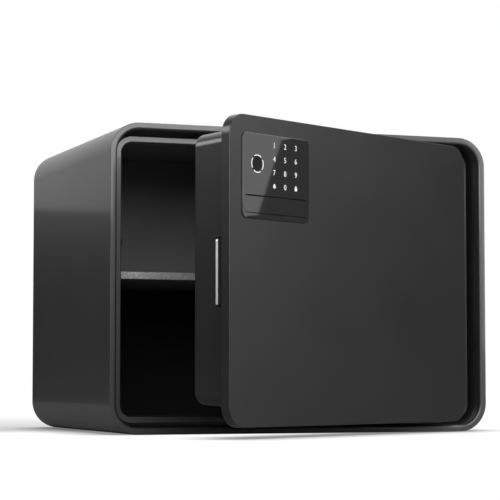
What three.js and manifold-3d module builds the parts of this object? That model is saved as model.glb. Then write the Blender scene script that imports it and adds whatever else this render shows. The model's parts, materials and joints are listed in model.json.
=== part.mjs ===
// A biometric safe with its door ajar: wrapped steel body, framed opening, felt-covered shelf,
// thick plate door with a boltwork box, touch panel with fingerprint reader, and a motor-driven bolt.
// Millimetres. X runs to the right, Y from the front rim into the depth, Z up.
// The origin is the centre of the underside. The door is drawn closed and then turned on its hinge.

import * as THREE from 'three';
import { mergeVertices } from 'three/addons/utils/BufferGeometryUtils.js';
import Module from 'manifold-3d';

const wasm = await Module();
wasm.setup();

// Clearances
const seatGap = 0.3; // between pieces that are fastened or laid together
const slideGap = 0.4; // between pieces that slide or turn on each other
const through = 2; // how far a cutting shape runs past the face that it cuts
const rooted = 1; // how far an added boss, stud or chip starts inside what carries it
const skin = 0.01; // how far the box's hollow starts before its open face
const draftGap = 0.35; // to a wall that leans by its draft

// Body
const bodyWidth = 400;
const bodyHeight = 300;
const bodyDepth = 300;
const bodyCornerRadius = 29;
const shellWall = 7; // of the reinforced band at the front, as far back as the collar
const sheetWall = 3; // of the rest of the shell
const rimRound = 0.5;
const mouthRound = 2.5; // of the inner edge of the front rim
const backThickness = 6;
const backInset = 3;

// Frame of the opening
const recessDepth = 20; // from the front rim back to the collar's face
const channelWidth = 3.5; // between the shell's inner face and the collar
const collarWall = 6.5;
const collarDepth = 30;
const collarCornerRadius = 11;
const flangeThickness = 3;
const jambWidth = 25;
const jambThickness = 3;
const frameRound = 0.8;
const openingRound = 1.2; // of the collar's inner edge

// Door plate
const plateThickness = 9.9;
const plateFreeGap = 2.4; // between the plate and the shell on the free side
const plateLowGap = 3.4;
const plateTopGap = 3.1;
const hingeChannel = 22.6; // between the plate and the shell on the hinge side
const plateCornerRadius = 19.5;
const plateRound = 0.5;
const restAngle = 28.3; // degrees that the door stands open

// Hinges
const axisSideReach = 3.9; // from the plate's hinge edge out to the hinge axis
const axisRearReach = 2.7; // from the plate's rear face back to the hinge axis
const knuckleRadius = 3.6;
const hingePinRadius = 1.8;
const hingeHeight = 60;
const hingeEndDistance = 42.5; // from the shell's floor or top to the end of each hinge
const leafThickness = 2;
const doorLeafReach = 17;
const bodyLeafReach = 13;
const pinHeadRadius = 3.2;
const pinHeadHeight = 1.6;

// Boltwork box
const boxDepth = 46.8;
const boxWall = 2;
const boxCornerRadius = 13;
const boxDraft = 2.5;
const boxRearRound = 2.5;
const boxRoundSteps = 3;
const boxInsetFree = 15.1; // from the plate's edges to the box's rear outline
const boxInsetHinge = 24.2;
const boxInsetLow = 19.6;
const boxInsetTop = 14;

// Bolt and its drive
const boltHeight = 60;
const boltThickness = 2.7;
const boltLength = 60;
const boltCornerRadius = 2;
const boltBelowLock = 30.9; // from the spare key's axis down to the bolt's upper edge
const boltDepth = 15.4; // from the plate's rear face to the bolt's front face
const boltProud = 0.9; // of the box's side when drawn back
const boltThrow = 12.5;
const slotMarginHeight = 1.2; // above and below the bolt in the box's slot
const slotFrontMargin = 3.9; // between the bolt's front face and the slot's front edge
const slotRearMargin = 0.5;
const strikeMargin = 1.5;
const guideLength = 24;
const guideInset = 5.5; // from the box's side to the guides
const guideHeight = 12;
const guideHold = 3; // how far each guide overlaps the bolt's edge
const guideRearWall = 2.8;
const carriageThickness = 4;
const carriageOverlap = 32; // of the carriage on the bolt
const carriageBarHeight = 12.4;
const rackBelowBolt = 7; // from the bolt's middle down to the rack's pitch line
const rackModule = 1.25;
const pinionTeeth = 12;
const pressureAngle = THREE.MathUtils.degToRad(25);
const gearBacklash = 0.22;
const rootDepth = 1.25; // of a tooth, in modules
const spareTeeth = 4; // of the rack, beyond those that the throw uses
const pinionShaftRadius = 2.5;
const pinionShaftDepth = 8.6; // from the plate's rear face to the shaft's front end
const pinionShaftReach = 1; // past the carriage's rear face
const pinionOffset = 6; // from the bolt's inner end to the pinion's axis
const gearboxWidth = 27;
const gearboxHeight = 28;
const gearboxCornerRadius = 3;
const gearboxRound = 0.8;
const motorRadius = 8;
const motorLength = 34;
const motorBossRadius = 3.5;
const motorBossReach = 2;
const motorRise = 0.2; // of the can from its seat on the plate

// Spare key lock
const lockOffsetX = 21.2; // from the panel's free edge to the lock's axis
const lockBarrelRadius = 6.4;
const lockPlugRadius = 4.3;
const lockRearReach = 15.8; // from the plate's rear face to the barrel's end
const barrelProud = 0.4; // of the recess behind the cover
const plugProud = 0.2;
const keySlotWidth = 1.6;
const keySlotHeight = 6;
const keySlotDepth = 6;
const camHalfWidth = 4;
const armWidth = 10;
const armAboveLock = 5.5;

// Key panel
const panelWidth = 92.9;
const panelHeight = 77;
const panelInsetFree = 16.4; // from the plate's free edge
const panelInsetTop = 16; // from the plate's top edge
const panelCornerRadius = 5.5;
const panelProud = 1.3;
const panelEdgeWidth = 4; // of the soft edge round the panel's face
const panelEdgeDrop = 0.5;
const panelEdgeRound = 0.6;
const fasciaThickness = 1.8;
const pocketDepth = 5.6;
const coverWidth = 83.6;
const coverHeight = 15.4;
const coverInsetFree = 4.3;
const coverInsetLow = 5.3;
const coverCornerRadius = 1.6; // of its lower corners
const coverThickness = 1.8;
const coverSeam = 0.35;
const coverRecessDepth = 3.4; // behind the cover
const coverSink = 0.1; // of the cover's face below the panel's face
const sensorInsetFree = 19.9;
const sensorInsetTop = 27.5;
const sensorRingRadius = 8.3;
const sensorRingWall = 1.7;
const sensorSeam = 0.2;
const sensorDish = 0.5;
const sensorSink = 0.3; // of the pad's rim below the panel's face
const sensorSeatDepth = 1.5; // of the pad's seat in the housing
const ringArcGap = 15; // degrees between the ring's raised arcs
const ringArcStep = 0.5;
const ringArcProud = 0.05;
const ringArcInset = 0.15;
const ringArcRoot = 0.2;
const bossInsetX = 22; // the housing's rear boss, from the panel's edges
const bossInsetTop = 12;
const bossHeight = 26;
const bossReach = 4; // past the plate's rear face
const socketWidth = 12;
const socketHeight = 7;
const socketOffsetX = 62;
const socketRearReach = 3;
const socketMouthWidth = 8.6;
const socketMouthHeight = 2.8;
const socketMouthDepth = 6;

// Control board
const boardWidth = 84;
const boardHeight = 66;
const boardThickness = 1.6;
const boardStandoff = 7.5;
const boardInsetX = 94; // from the plate's free edge
const boardInsetTop = 26;
const studRadius = 2.6;
const studInset = 6;
const boardCornerRadius = 3;
const chipRoot = 0.4; // how far each component starts inside the board
const processor = { x: 30, drop: 40, width: 14, height: 14, rise: 2 };
const driverChip = { x: 56, drop: 24, width: 9, height: 7, rise: 3 };
const cellSocket = { x: 12, drop: 60, width: 18, height: 6, rise: 7 };
const motorSocket = { x: 42, drop: 62, width: 12, height: 6, rise: 7 };
const canRadius = 4; // of the two upright capacitors
const canRise = 9;
const canFirstX = 60;
const canPitch = 11;
const canDrop = 48;

// Battery bay
const cellRadius = 7.1;
const cellLength = 49;
const cellCapRadius = 2.7;
const cellCapHeight = 1.4;
const cellCount = 4;
const cellPitch = 15;
const trayWall = 2;
const trayEndSlack = 1;
const trayDepthSlack = 1.2;
const trayInsetHinge = 65; // from the plate's hinge edge
const trayLow = 112;
const lidOverlap = 3;
const lidThickness = 1.8;
const lidCornerRadius = 3;
const lidRound = 0.5;
const lidRibCount = 5;
const lidRibInset = 8; // from the lid's edge to the first rib
const lidRibPitch = 4;
const lidRibWidth = 1.6;
const lidRibHeight = 0.6;
const lidRibLength = 26;

// Reset button
const buttonRadius = 3.6;
const buttonProud = 1.6;
const buttonFlange = 1.4;
const buttonInsetHinge = 57;
const buttonInsetTop = 52;
const buttonFlangeThickness = 1.2;
const buttonTravel = 1.2;
const buttonStemLength = 5;
const buttonStemRadius = 1.8;
const buttonChamfer = 0.5;
const switchWidth = 12;
const switchDepth = 7;
const switchPostRadius = 3.6;

// Hinge-side bar
const barHeight = 120;
const barThickness = 4;
const barReach = 18;
const barDepth = 23.7; // from the plate's rear face
const barFoot = 12;

// Interior
const shelfHeight = 152.1; // of the shelf's underside above the ground
const shelfThickness = 7.3; // with its felt
const shelfFrontDepth = 60.6;
const shelfRearGap = 1;
const shelfSideGap = 1.5;
const linerThickness = 1.5;
const railLeg = 12;
const railWall = 2;
const railFrontInset = 6;
const railRearInset = 6;
const matThickness = 2;
const matSideInset = 1.5; // from where the floor's corners start to curve
const matFrontGap = 2;
const matRearGap = 2;

// Anchor holes, with their plugs
const anchorHoleRadius = 6;
const anchorSpacing = 220;
const anchorRearHeight = 205;
const plugInset = 1; // of each plug's end from the outer face
const plugHeadRadius = 8.5;
const plugHeadHeight = 1.6;

// Places that follow from the sizes above
const frontY = -bodyDepth / 2;
const shellInnerX = bodyWidth / 2 - shellWall;
const shellTopZ = bodyHeight - shellWall;
const collarOuterX = shellInnerX - channelWidth;
const collarInnerX = collarOuterX - collarWall;
const collarLowZ = shellWall + channelWidth + collarWall;
const collarTopZ = bodyHeight - collarLowZ;
const collarFrontY = frontY + recessDepth;
const collarRearY = collarFrontY + collarDepth;
const jambX = collarInnerX - jambWidth;
const backFrontY = bodyDepth / 2 - backInset - backThickness;
const roomX = bodyWidth / 2 - sheetWall; // the room behind the collar
const roomTopZ = bodyHeight - sheetWall;
const roomCornerRadius = bodyCornerRadius - sheetWall;

const plateLeftX = -shellInnerX + plateFreeGap;
const plateRightX = shellInnerX - hingeChannel;
const plateLowZ = shellWall + plateLowGap;
const plateTopZ = shellTopZ - plateTopGap;
const plateRearY = frontY + plateThickness;
const hingeAxisX = plateRightX + axisSideReach;
const hingeAxisY = plateRearY + axisRearReach;
const lowHingeZ = shellWall + hingeEndDistance;
const topHingeZ = shellTopZ - hingeEndDistance - hingeHeight;

const boxLeftX = plateLeftX + boxInsetFree;
const boxRightX = plateRightX - boxInsetHinge;
const boxLowZ = plateLowZ + boxInsetLow;
const boxTopZ = plateTopZ - boxInsetTop;
const boxRearY = plateRearY + boxDepth;
const boxInnerRearY = boxRearY - boxWall;

const panelLeftX = plateLeftX + panelInsetFree;
const panelRightX = panelLeftX + panelWidth;
const panelTopZ = plateTopZ - panelInsetTop;
const panelLowZ = panelTopZ - panelHeight;
const panelFrontY = frontY - panelProud;
const fasciaRearY = panelFrontY + fasciaThickness;
const pocketY = frontY + pocketDepth;
const coverLeftX = panelLeftX + coverInsetFree;
const coverRightX = coverLeftX + coverWidth;
const coverLowZ = panelLowZ + coverInsetLow;
const coverTopZ = coverLowZ + coverHeight;
const coverPivotY = panelFrontY + coverThickness / 2 + coverSink;
const coverPivotZ = coverTopZ - coverThickness / 2;
const recessY = panelFrontY + coverThickness + coverRecessDepth;
const lockX = panelLeftX + lockOffsetX;
const lockZ = (coverLowZ + coverTopZ) / 2;
const lockRearY = plateRearY + lockRearReach;
const sensorX = panelLeftX + sensorInsetFree;
const sensorZ = panelTopZ - sensorInsetTop;

const boltTopZ = lockZ - boltBelowLock;
const boltLowZ = boltTopZ - boltHeight;
const boltMiddleZ = (boltLowZ + boltTopZ) / 2;
const boltFrontY = plateRearY + boltDepth;
const boltRearY = boltFrontY + boltThickness;
const boxSideAtBoltX = boxLeftX - boxDraft * (1 - (boltFrontY + boltThickness / 2 - plateRearY) / boxDepth);
const boltEndX = boxSideAtBoltX - boltProud;
const boltInnerX = boltEndX + boltLength;
const carriageFrontY = boltRearY + seatGap;
const carriageRearY = carriageFrontY + carriageThickness;
const pinionX = boltInnerX + pinionOffset;
const pitchRadius = (rackModule * pinionTeeth) / 2;
const rackPitch = Math.PI * rackModule;
const rackTeeth = Math.ceil(boltThrow / rackPitch) + spareTeeth;
const rackPitchZ = boltMiddleZ - rackBelowBolt;
const rackRootZ = rackPitchZ + rootDepth * rackModule;
const pinionZ = rackPitchZ - pitchRadius;

const trayRightX = plateRightX - trayInsetHinge;
const trayWidth = cellPitch * cellCount + 2 * trayWall;
const trayLeftX = trayRightX - trayWidth;
const trayHeight = cellLength + cellCapHeight + 2 * seatGap + 2 * trayWall + trayEndSlack;
const trayTopZ = trayLow + trayHeight;
const trayRearY = boxInnerRearY - seatGap;
const trayDepth = 2 * cellRadius + trayWall + trayDepthSlack;

// Finishes
function finish(color, roughness, metalness) {
  return new THREE.MeshStandardMaterial({ color, roughness, metalness });
}
const bodyPaint = () => finish(0x3a3a3c, 0.62, 0.25);
const doorPaint = () => finish(0x424244, 0.58, 0.25);
const framePaint = () => finish(0x48484a, 0.6, 0.25);
const glossBlack = () => finish(0x1c1c1f, 0.16, 0);
const mattBlack = () => finish(0x1a1a1b, 0.7, 0);
const felt = () => finish(0x8a8a88, 0.95, 0);
const darkFelt = () => finish(0x2a2a2a, 0.95, 0);
const steel = () => finish(0xbfc1c4, 0.28, 1);
const zinc = () => finish(0x9a9c9f, 0.4, 0.9);
const brass = () => finish(0xb08d4a, 0.3, 1);
const lightGuide = () => finish(0xf4f8ff, 0.3, 0);
const boardGreen = () => finish(0x1f5136, 0.5, 0);
const whitePlastic = () => finish(0xc9c9c4, 0.5, 0);
const cellWrap = () => finish(0x3c4a58, 0.35, 0.1);
const redPlastic = () => finish(0xa3231c, 0.4, 0);

// Solids
function toSolid(geometry) {
  const bare = geometry.clone();
  bare.deleteAttribute('normal');
  bare.deleteAttribute('uv');
  const merged = mergeVertices(bare, 1e-4);
  const vertProperties = new Float32Array(merged.attributes.position.array);
  const triVerts = new Uint32Array(merged.index.array);
  return new wasm.Manifold(new wasm.Mesh({ numProp: 3, vertProperties, triVerts }));
}

function toGeometry(solid) {
  const { numProp, vertProperties, triVerts } = solid.getMesh();
  const positions = new Float32Array((vertProperties.length / numProp) * 3);
  for (let i = 0; i < positions.length / 3; i += 1) {
    for (let k = 0; k < 3; k += 1) positions[3 * i + k] = vertProperties[numProp * i + k];
  }
  const geometry = new THREE.BufferGeometry();
  geometry.setAttribute('position', new THREE.BufferAttribute(positions, 3));
  geometry.setIndex(new THREE.BufferAttribute(new Uint32Array(triVerts), 1));
  return geometry;
}

function named(name, solid, material) {
  const geometry = toGeometry(solid).toNonIndexed();
  geometry.computeVertexNormals();
  const mesh = new THREE.Mesh(geometry, material);
  mesh.name = name;
  return mesh;
}

// An outline in the front view, with round corners, counter-clockwise.
function roundedOutline(left, right, low, top, radius) {
  const shape = new THREE.Shape();
  shape.moveTo(right, low + radius);
  shape.lineTo(right, top - radius);
  shape.absarc(right - radius, top - radius, radius, 0, Math.PI / 2, false);
  shape.lineTo(left + radius, top);
  shape.absarc(left + radius, top - radius, radius, Math.PI / 2, Math.PI, false);
  shape.lineTo(left, low + radius);
  shape.absarc(left + radius, low + radius, radius, Math.PI, 1.5 * Math.PI, false);
  shape.lineTo(right - radius, low);
  shape.absarc(right - radius, low + radius, radius, 1.5 * Math.PI, 2 * Math.PI, false);
  return shape;
}

// A front-view outline carried from one depth to another; round eases both its edges.
function slab(shape, fromY, toY, { round = 0, roundSteps = 2, curveSegments = 6 } = {}) {
  const geometry = new THREE.ExtrudeGeometry(shape, {
    depth: toY - fromY - 2 * round,
    curveSegments,
    bevelEnabled: round > 0,
    bevelThickness: round,
    bevelSize: round,
    bevelOffset: -round,
    bevelSegments: roundSteps,
  });
  geometry.rotateX(Math.PI / 2);
  geometry.translate(0, toY - round, 0);
  return toSolid(geometry);
}

function block(x0, x1, y0, y1, z0, z1) {
  const geometry = new THREE.BoxGeometry(x1 - x0, y1 - y0, z1 - z0);
  geometry.translate((x0 + x1) / 2, (y0 + y1) / 2, (z0 + z1) / 2);
  return toSolid(geometry);
}

// A round rod along X, Y or Z from one end to the other.
function rod(axis, radius, from, to, centre, segments = 24) {
  const geometry = new THREE.CylinderGeometry(radius, radius, to - from, segments);
  if (axis === 'x') geometry.rotateZ(Math.PI / 2);
  if (axis === 'z') geometry.rotateX(Math.PI / 2);
  const middle = (from + to) / 2;
  if (axis === 'x') geometry.translate(middle, centre[0], centre[1]);
  if (axis === 'y') geometry.translate(centre[0], middle, centre[1]);
  if (axis === 'z') geometry.translate(centre[0], centre[1], middle);
  return toSolid(geometry);
}

// A turned piece on an axis along Y; the profile gives [radius, depth] pairs.
function turned(profile, centre, segments = 32) {
  const points = profile.map(([radius, depth]) => new THREE.Vector2(radius, depth));
  const geometry = new THREE.LatheGeometry(points, segments);
  geometry.translate(centre[0], 0, centre[1]);
  return toSolid(geometry);
}

// The points of a rounded outline at its depth y, counter-clockwise in the front view.
function sectionPoints({ left, right, low, top, radius, y }, cornerSteps) {
  const corners = [
    [right - radius, top - radius],
    [left + radius, top - radius],
    [left + radius, low + radius],
    [right - radius, low + radius],
  ];
  return corners.flatMap(([x, z], quarter) =>
    Array.from({ length: cornerSteps + 1 }, (_, step) => {
      const angle = ((quarter + step / cornerSteps) * Math.PI) / 2;
      return [x + radius * Math.cos(angle), y, z + radius * Math.sin(angle)];
    }),
  );
}

// A solid through rounded outlines, each with its own size, corner radius and depth, from front to rear.
function lofted(sections, cornerSteps = 6) {
  const rings = sections.map((outline) => sectionPoints(outline, cornerSteps));
  const count = rings[0].length;
  const index = [];
  for (let row = 0; row + 1 < rings.length; row += 1) {
    const near = row * count;
    const far = near + count;
    for (let i = 0; i < count; i += 1) {
      const next = (i + 1) % count;
      index.push(near + i, far + next, near + next, near + i, far + i, far + next);
    }
  }
  const last = (rings.length - 1) * count;
  for (let i = 1; i < count - 1; i += 1) {
    index.push(0, i, i + 1, last, last + i + 1, last + i);
  }
  const geometry = new THREE.BufferGeometry();
  geometry.setAttribute('position', new THREE.Float32BufferAttribute(rings.flat(2), 3));
  geometry.setIndex(index);
  return toSolid(geometry);
}

function section(left, right, low, top, radius, y) {
  return { left, right, low, top, radius, y };
}

// The same section, smaller by the given inset all round, at another depth.
function insetSection({ left, right, low, top, radius }, by, y) {
  return section(left + by, right - by, low + by, top - by, Math.max(radius - by, 0.2), y);
}

// What is cut out for an opening whose front edge is rounded towards its wall.
function roundedMouth(outline, faceY, toY, round, cornerSteps, roundSteps = 3) {
  const sections = [insetSection(outline, -round, faceY - through)];
  for (let step = 0; step <= roundSteps; step += 1) {
    const angle = (Math.PI / 2) * (step / roundSteps);
    const grown = round * (1 - Math.sin(angle));
    sections.push(insetSection(outline, -grown, faceY + round * (1 - Math.cos(angle))));
  }
  sections.push(insetSection(outline, 0, toY));
  return lofted(sections, cornerSteps);
}

// Body pieces
function anchorSpots() {
  return [-anchorSpacing / 2, anchorSpacing / 2];
}

function outerShell() {
  const outline = roundedOutline(-bodyWidth / 2, bodyWidth / 2, 0, bodyHeight, bodyCornerRadius);
  const innerRadius = bodyCornerRadius - shellWall;
  const inner = section(-shellInnerX, shellInnerX, shellWall, shellTopZ, innerRadius);
  let shell = slab(outline, frontY, bodyDepth / 2, { round: rimRound, roundSteps: 1, curveSegments: 10 });
  const room = roundedOutline(-roomX, roomX, sheetWall, roomTopZ, roomCornerRadius);
  shell = shell
    .subtract(roundedMouth(inner, frontY, collarRearY + through, mouthRound, 10))
    .subtract(slab(room, collarRearY, bodyDepth / 2 + through, { curveSegments: 10 }));
  for (const x of anchorSpots()) {
    shell = shell.subtract(rod('z', anchorHoleRadius, -through, sheetWall + through, [x, 0]));
  }
  return named('outer_shell', shell, bodyPaint());
}

function backPanel() {
  const outline = roundedOutline(
    -roomX + seatGap,
    roomX - seatGap,
    sheetWall + seatGap,
    roomTopZ - seatGap,
    roomCornerRadius - seatGap,
  );
  let panel = slab(outline, backFrontY, backFrontY + backThickness, { curveSegments: 8 });
  for (const x of anchorSpots()) {
    const hole = rod('y', anchorHoleRadius, backFrontY - through, bodyDepth / 2, [x, anchorRearHeight]);
    panel = panel.subtract(hole);
  }
  return named('back_panel', panel, bodyPaint());
}

function doorFrame() {
  const outerRadius = collarCornerRadius + collarWall;
  const outerLowZ = collarLowZ - collarWall;
  const outerTopZ = collarTopZ + collarWall;
  const collar = roundedOutline(-collarOuterX, collarOuterX, outerLowZ, outerTopZ, outerRadius);
  const flangeRadius = bodyCornerRadius - shellWall - seatGap;
  const flange = roundedOutline(
    -shellInnerX + seatGap,
    shellInnerX - seatGap,
    shellWall + seatGap,
    shellTopZ - seatGap,
    flangeRadius,
  );
  const opening = section(-collarInnerX, jambX, collarLowZ, collarTopZ, collarCornerRadius);
  const pocketRadius = collarCornerRadius;
  const pocket = roundedOutline(jambX - jambWidth, collarInnerX, collarLowZ, collarTopZ, pocketRadius);
  const strike = block(
    -collarOuterX - through,
    -collarInnerX + through,
    boltFrontY - strikeMargin,
    boltRearY + strikeMargin,
    boltLowZ - strikeMargin,
    boltTopZ + strikeMargin,
  );
  const edge = { round: frameRound, roundSteps: 1, curveSegments: 5 };
  const frame = slab(collar, collarFrontY, collarRearY, edge)
    .add(slab(flange, collarRearY - flangeThickness, collarRearY, { curveSegments: 6 }))
    .subtract(roundedMouth(opening, collarFrontY, collarRearY + through, openingRound, 5, 2))
    .subtract(slab(pocket, collarFrontY + jambThickness, collarRearY + through, { curveSegments: 5 }))
    .subtract(strike);
  return named('door_frame', frame, framePaint());
}

// A hinge is three knuckles on one pin: the outer two belong to the body, the middle one to the door.
function hingeSpans(lowZ) {
  const knuckle = (hingeHeight - 2 * slideGap) / 3;
  return {
    low: [lowZ, lowZ + knuckle],
    middle: [lowZ + knuckle + slideGap, lowZ + 2 * knuckle + slideGap],
    top: [lowZ + hingeHeight - knuckle, lowZ + hingeHeight],
  };
}

function knuckle([from, to]) {
  return rod('z', knuckleRadius, from, to, [hingeAxisX, hingeAxisY]);
}

function pinBore(lowZ) {
  const radius = hingePinRadius + seatGap;
  return rod('z', radius, lowZ - through, lowZ + hingeHeight + through, [hingeAxisX, hingeAxisY]);
}

function hingeBodyLeaf(name, lowZ) {
  const spans = hingeSpans(lowZ);
  const rearY = collarFrontY - seatGap;
  const leaf = block(
    hingeAxisX,
    hingeAxisX + bodyLeafReach,
    rearY - leafThickness,
    rearY,
    lowZ,
    lowZ + hingeHeight,
  );
  const foot = ([from, to]) =>
    block(hingeAxisX, hingeAxisX + knuckleRadius, hingeAxisY, rearY - leafThickness / 2, from, to);
  const clearMiddle = rod(
    'z',
    knuckleRadius + slideGap,
    spans.middle[0] - slideGap,
    spans.middle[1] + slideGap,
    [hingeAxisX, hingeAxisY],
  );
  const solid = leaf
    .add(knuckle(spans.low))
    .add(foot(spans.low))
    .add(knuckle(spans.top))
    .add(foot(spans.top))
    .subtract(clearMiddle)
    .subtract(pinBore(lowZ));
  return named(name, solid, framePaint());
}

function hingeDoorLeaf(name, lowZ) {
  const spans = hingeSpans(lowZ);
  const frontFaceY = plateRearY + seatGap;
  const leaf = block(
    hingeAxisX - knuckleRadius - doorLeafReach,
    hingeAxisX,
    frontFaceY,
    frontFaceY + leafThickness,
    lowZ,
    lowZ + hingeHeight,
  );
  const clearance = knuckleRadius + slideGap;
  const clearLow = rod('z', clearance, lowZ - through, spans.low[1] + slideGap, [hingeAxisX, hingeAxisY]);
  const clearTop = rod(
    'z',
    clearance,
    spans.top[0] - slideGap,
    lowZ + hingeHeight + through,
    [hingeAxisX, hingeAxisY],
  );
  const solid = leaf
    .add(knuckle(spans.middle))
    .subtract(clearLow)
    .subtract(clearTop)
    .subtract(pinBore(lowZ));
  return named(name, solid, framePaint());
}

function hingePin(name, lowZ) {
  const topZ = lowZ + hingeHeight;
  const headZ = topZ + seatGap;
  const pin = rod('z', hingePinRadius, lowZ, headZ + pinHeadHeight / 2, [hingeAxisX, hingeAxisY]);
  const head = rod('z', pinHeadRadius, headZ, headZ + pinHeadHeight, [hingeAxisX, hingeAxisY]);
  return named(name, pin.add(head), steel());
}

function shelfBoard() {
  const width = roomX - shelfSideGap;
  const topZ = shelfHeight + shelfThickness - linerThickness - seatGap;
  const frontFaceY = frontY + shelfFrontDepth + linerThickness + seatGap;
  const board = block(-width, width, frontFaceY, backFrontY - shelfRearGap, shelfHeight, topZ);
  return named('shelf_board', board, mattBlack());
}

function shelfLiner() {
  const width = roomX - shelfSideGap;
  const topZ = shelfHeight + shelfThickness;
  const faceY = frontY + shelfFrontDepth;
  const top = block(-width, width, faceY, backFrontY - shelfRearGap, topZ - linerThickness, topZ);
  const edge = block(-width, width, faceY, faceY + linerThickness, shelfHeight, topZ);
  return named('shelf_liner', top.add(edge), felt());
}

// An angle under each end of the shelf; side is -1 on the left and 1 on the right.
function shelfRail(name, side) {
  const wallX = roomX - seatGap;
  const fromY = frontY + shelfFrontDepth + railFrontInset;
  const toY = backFrontY - railRearInset;
  const topZ = shelfHeight - seatGap;
  const outline = new THREE.Shape();
  outline.moveTo(wallX, topZ);
  outline.lineTo(wallX - railLeg, topZ);
  outline.lineTo(wallX - railLeg, topZ - railWall);
  outline.lineTo(wallX - railWall, topZ - railWall);
  outline.lineTo(wallX - railWall, topZ - railLeg);
  outline.lineTo(wallX, topZ - railLeg);
  outline.closePath();
  const angle = slab(outline, fromY, toY);
  return named(name, side > 0 ? angle : angle.mirror([1, 0, 0]), bodyPaint());
}

function floorMat() {
  const width = bodyWidth / 2 - bodyCornerRadius - matSideInset;
  const fromY = collarRearY + matFrontGap;
  const toY = backFrontY - matRearGap;
  const baseZ = sheetWall + seatGap;
  const mat = block(-width, width, fromY, toY, baseZ, baseZ + matThickness);
  return named('floor_mat', mat, darkFelt());
}

function floorPlug(name, x) {
  const stem = rod('z', anchorHoleRadius - seatGap, plugInset, sheetWall + seatGap / 2, [x, 0]);
  return named(name, stem, mattBlack());
}

// A plug pressed in from inside the safe.
function rearPlug(name, x) {
  const centre = [x, anchorRearHeight];
  const headRearY = backFrontY - seatGap;
  const stemEndY = backFrontY + backThickness - plugInset;
  const stem = rod('y', anchorHoleRadius - seatGap, headRearY - plugHeadHeight / 2, stemEndY, centre);
  const head = rod('y', plugHeadRadius, headRearY - plugHeadHeight, headRearY, centre);
  return named(name, stem.add(head), mattBlack());
}

// Door pieces, drawn with the door closed
function doorPlate() {
  const outline = roundedOutline(plateLeftX, plateRightX, plateLowZ, plateTopZ, plateCornerRadius);
  let plate = slab(outline, frontY, plateRearY, { round: plateRound, curveSegments: 8 });
  const pocket = roundedOutline(
    panelLeftX - seatGap,
    panelRightX + seatGap,
    panelLowZ - seatGap,
    panelTopZ + seatGap,
    panelCornerRadius + seatGap,
  );
  plate = plate.subtract(slab(pocket, frontY - through, pocketY, { curveSegments: 5 }));
  plate = plate.subtract(
    block(
      panelLeftX + bossInsetX - seatGap,
      panelRightX - bossInsetX + seatGap,
      pocketY - through,
      plateRearY + through,
      panelTopZ - bossInsetTop - bossHeight - seatGap,
      panelTopZ - bossInsetTop + seatGap,
    ),
  );
  plate = plate.subtract(
    rod('y', lockBarrelRadius + seatGap, pocketY - through, plateRearY + through, [lockX, lockZ]),
  );
  const socketX = panelLeftX + socketOffsetX;
  plate = plate.subtract(
    block(
      socketX - socketWidth / 2 - seatGap,
      socketX + socketWidth / 2 + seatGap,
      pocketY - through,
      plateRearY + through,
      lockZ - socketHeight / 2 - seatGap,
      lockZ + socketHeight / 2 + seatGap,
    ),
  );
  for (const centre of boardCorners()) {
    plate = plate.add(rod('y', studRadius, plateRearY - rooted, plateRearY + boardStandoff, centre, 16));
  }
  return named('door_plate', plate, doorPaint());
}

function doorBox() {
  const frontFaceY = plateRearY + seatGap;
  const sectionAt = (grown, radius, y) =>
    section(boxLeftX - grown, boxRightX + grown, boxLowZ - grown, boxTopZ + grown, radius, y);
  const depth = boxRearY - frontFaceY;
  const outerSections = [sectionAt(boxDraft, boxCornerRadius, frontFaceY)];
  for (let step = 0; step <= boxRoundSteps; step += 1) {
    const angle = (Math.PI / 2) * (step / boxRoundSteps);
    const y = boxRearY - boxRearRound * (1 - Math.sin(angle));
    const grown = (boxDraft * (boxRearY - y)) / depth - boxRearRound * (1 - Math.cos(angle));
    outerSections.push(sectionAt(grown, boxCornerRadius, y));
  }
  const outer = lofted(outerSections);
  const innerRadius = boxCornerRadius - boxWall;
  const inner = lofted([
    sectionAt(boxDraft - boxWall, innerRadius, frontFaceY - skin),
    sectionAt(-boxWall, innerRadius, boxInnerRearY),
  ]);
  const slot = block(
    boxLeftX - 2 * boxDraft,
    boxLeftX + 2 * boxWall,
    boltFrontY - slotFrontMargin,
    boltRearY + slotRearMargin,
    boltLowZ - slotMarginHeight,
    boltTopZ + slotMarginHeight,
  );
  const bay = block(
    trayLeftX + trayWall,
    trayRightX - trayWall,
    boxInnerRearY - through,
    boxRearY + through,
    trayLow + trayWall,
    trayTopZ - trayWall,
  );
  const buttonHole = rod('y', buttonRadius + seatGap, boxInnerRearY - through, boxRearY + through, [
    plateRightX - buttonInsetHinge,
    plateTopZ - buttonInsetTop,
  ]);
  const box = outer.subtract(inner).subtract(slot).subtract(bay).subtract(buttonHole);
  return named('door_box', box, doorPaint());
}

function boltPlate() {
  const outline = roundedOutline(boltEndX, boltInnerX, boltLowZ, boltTopZ, boltCornerRadius);
  return named('bolt_plate', slab(outline, boltFrontY, boltRearY, { curveSegments: 3 }), steel());
}

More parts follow.
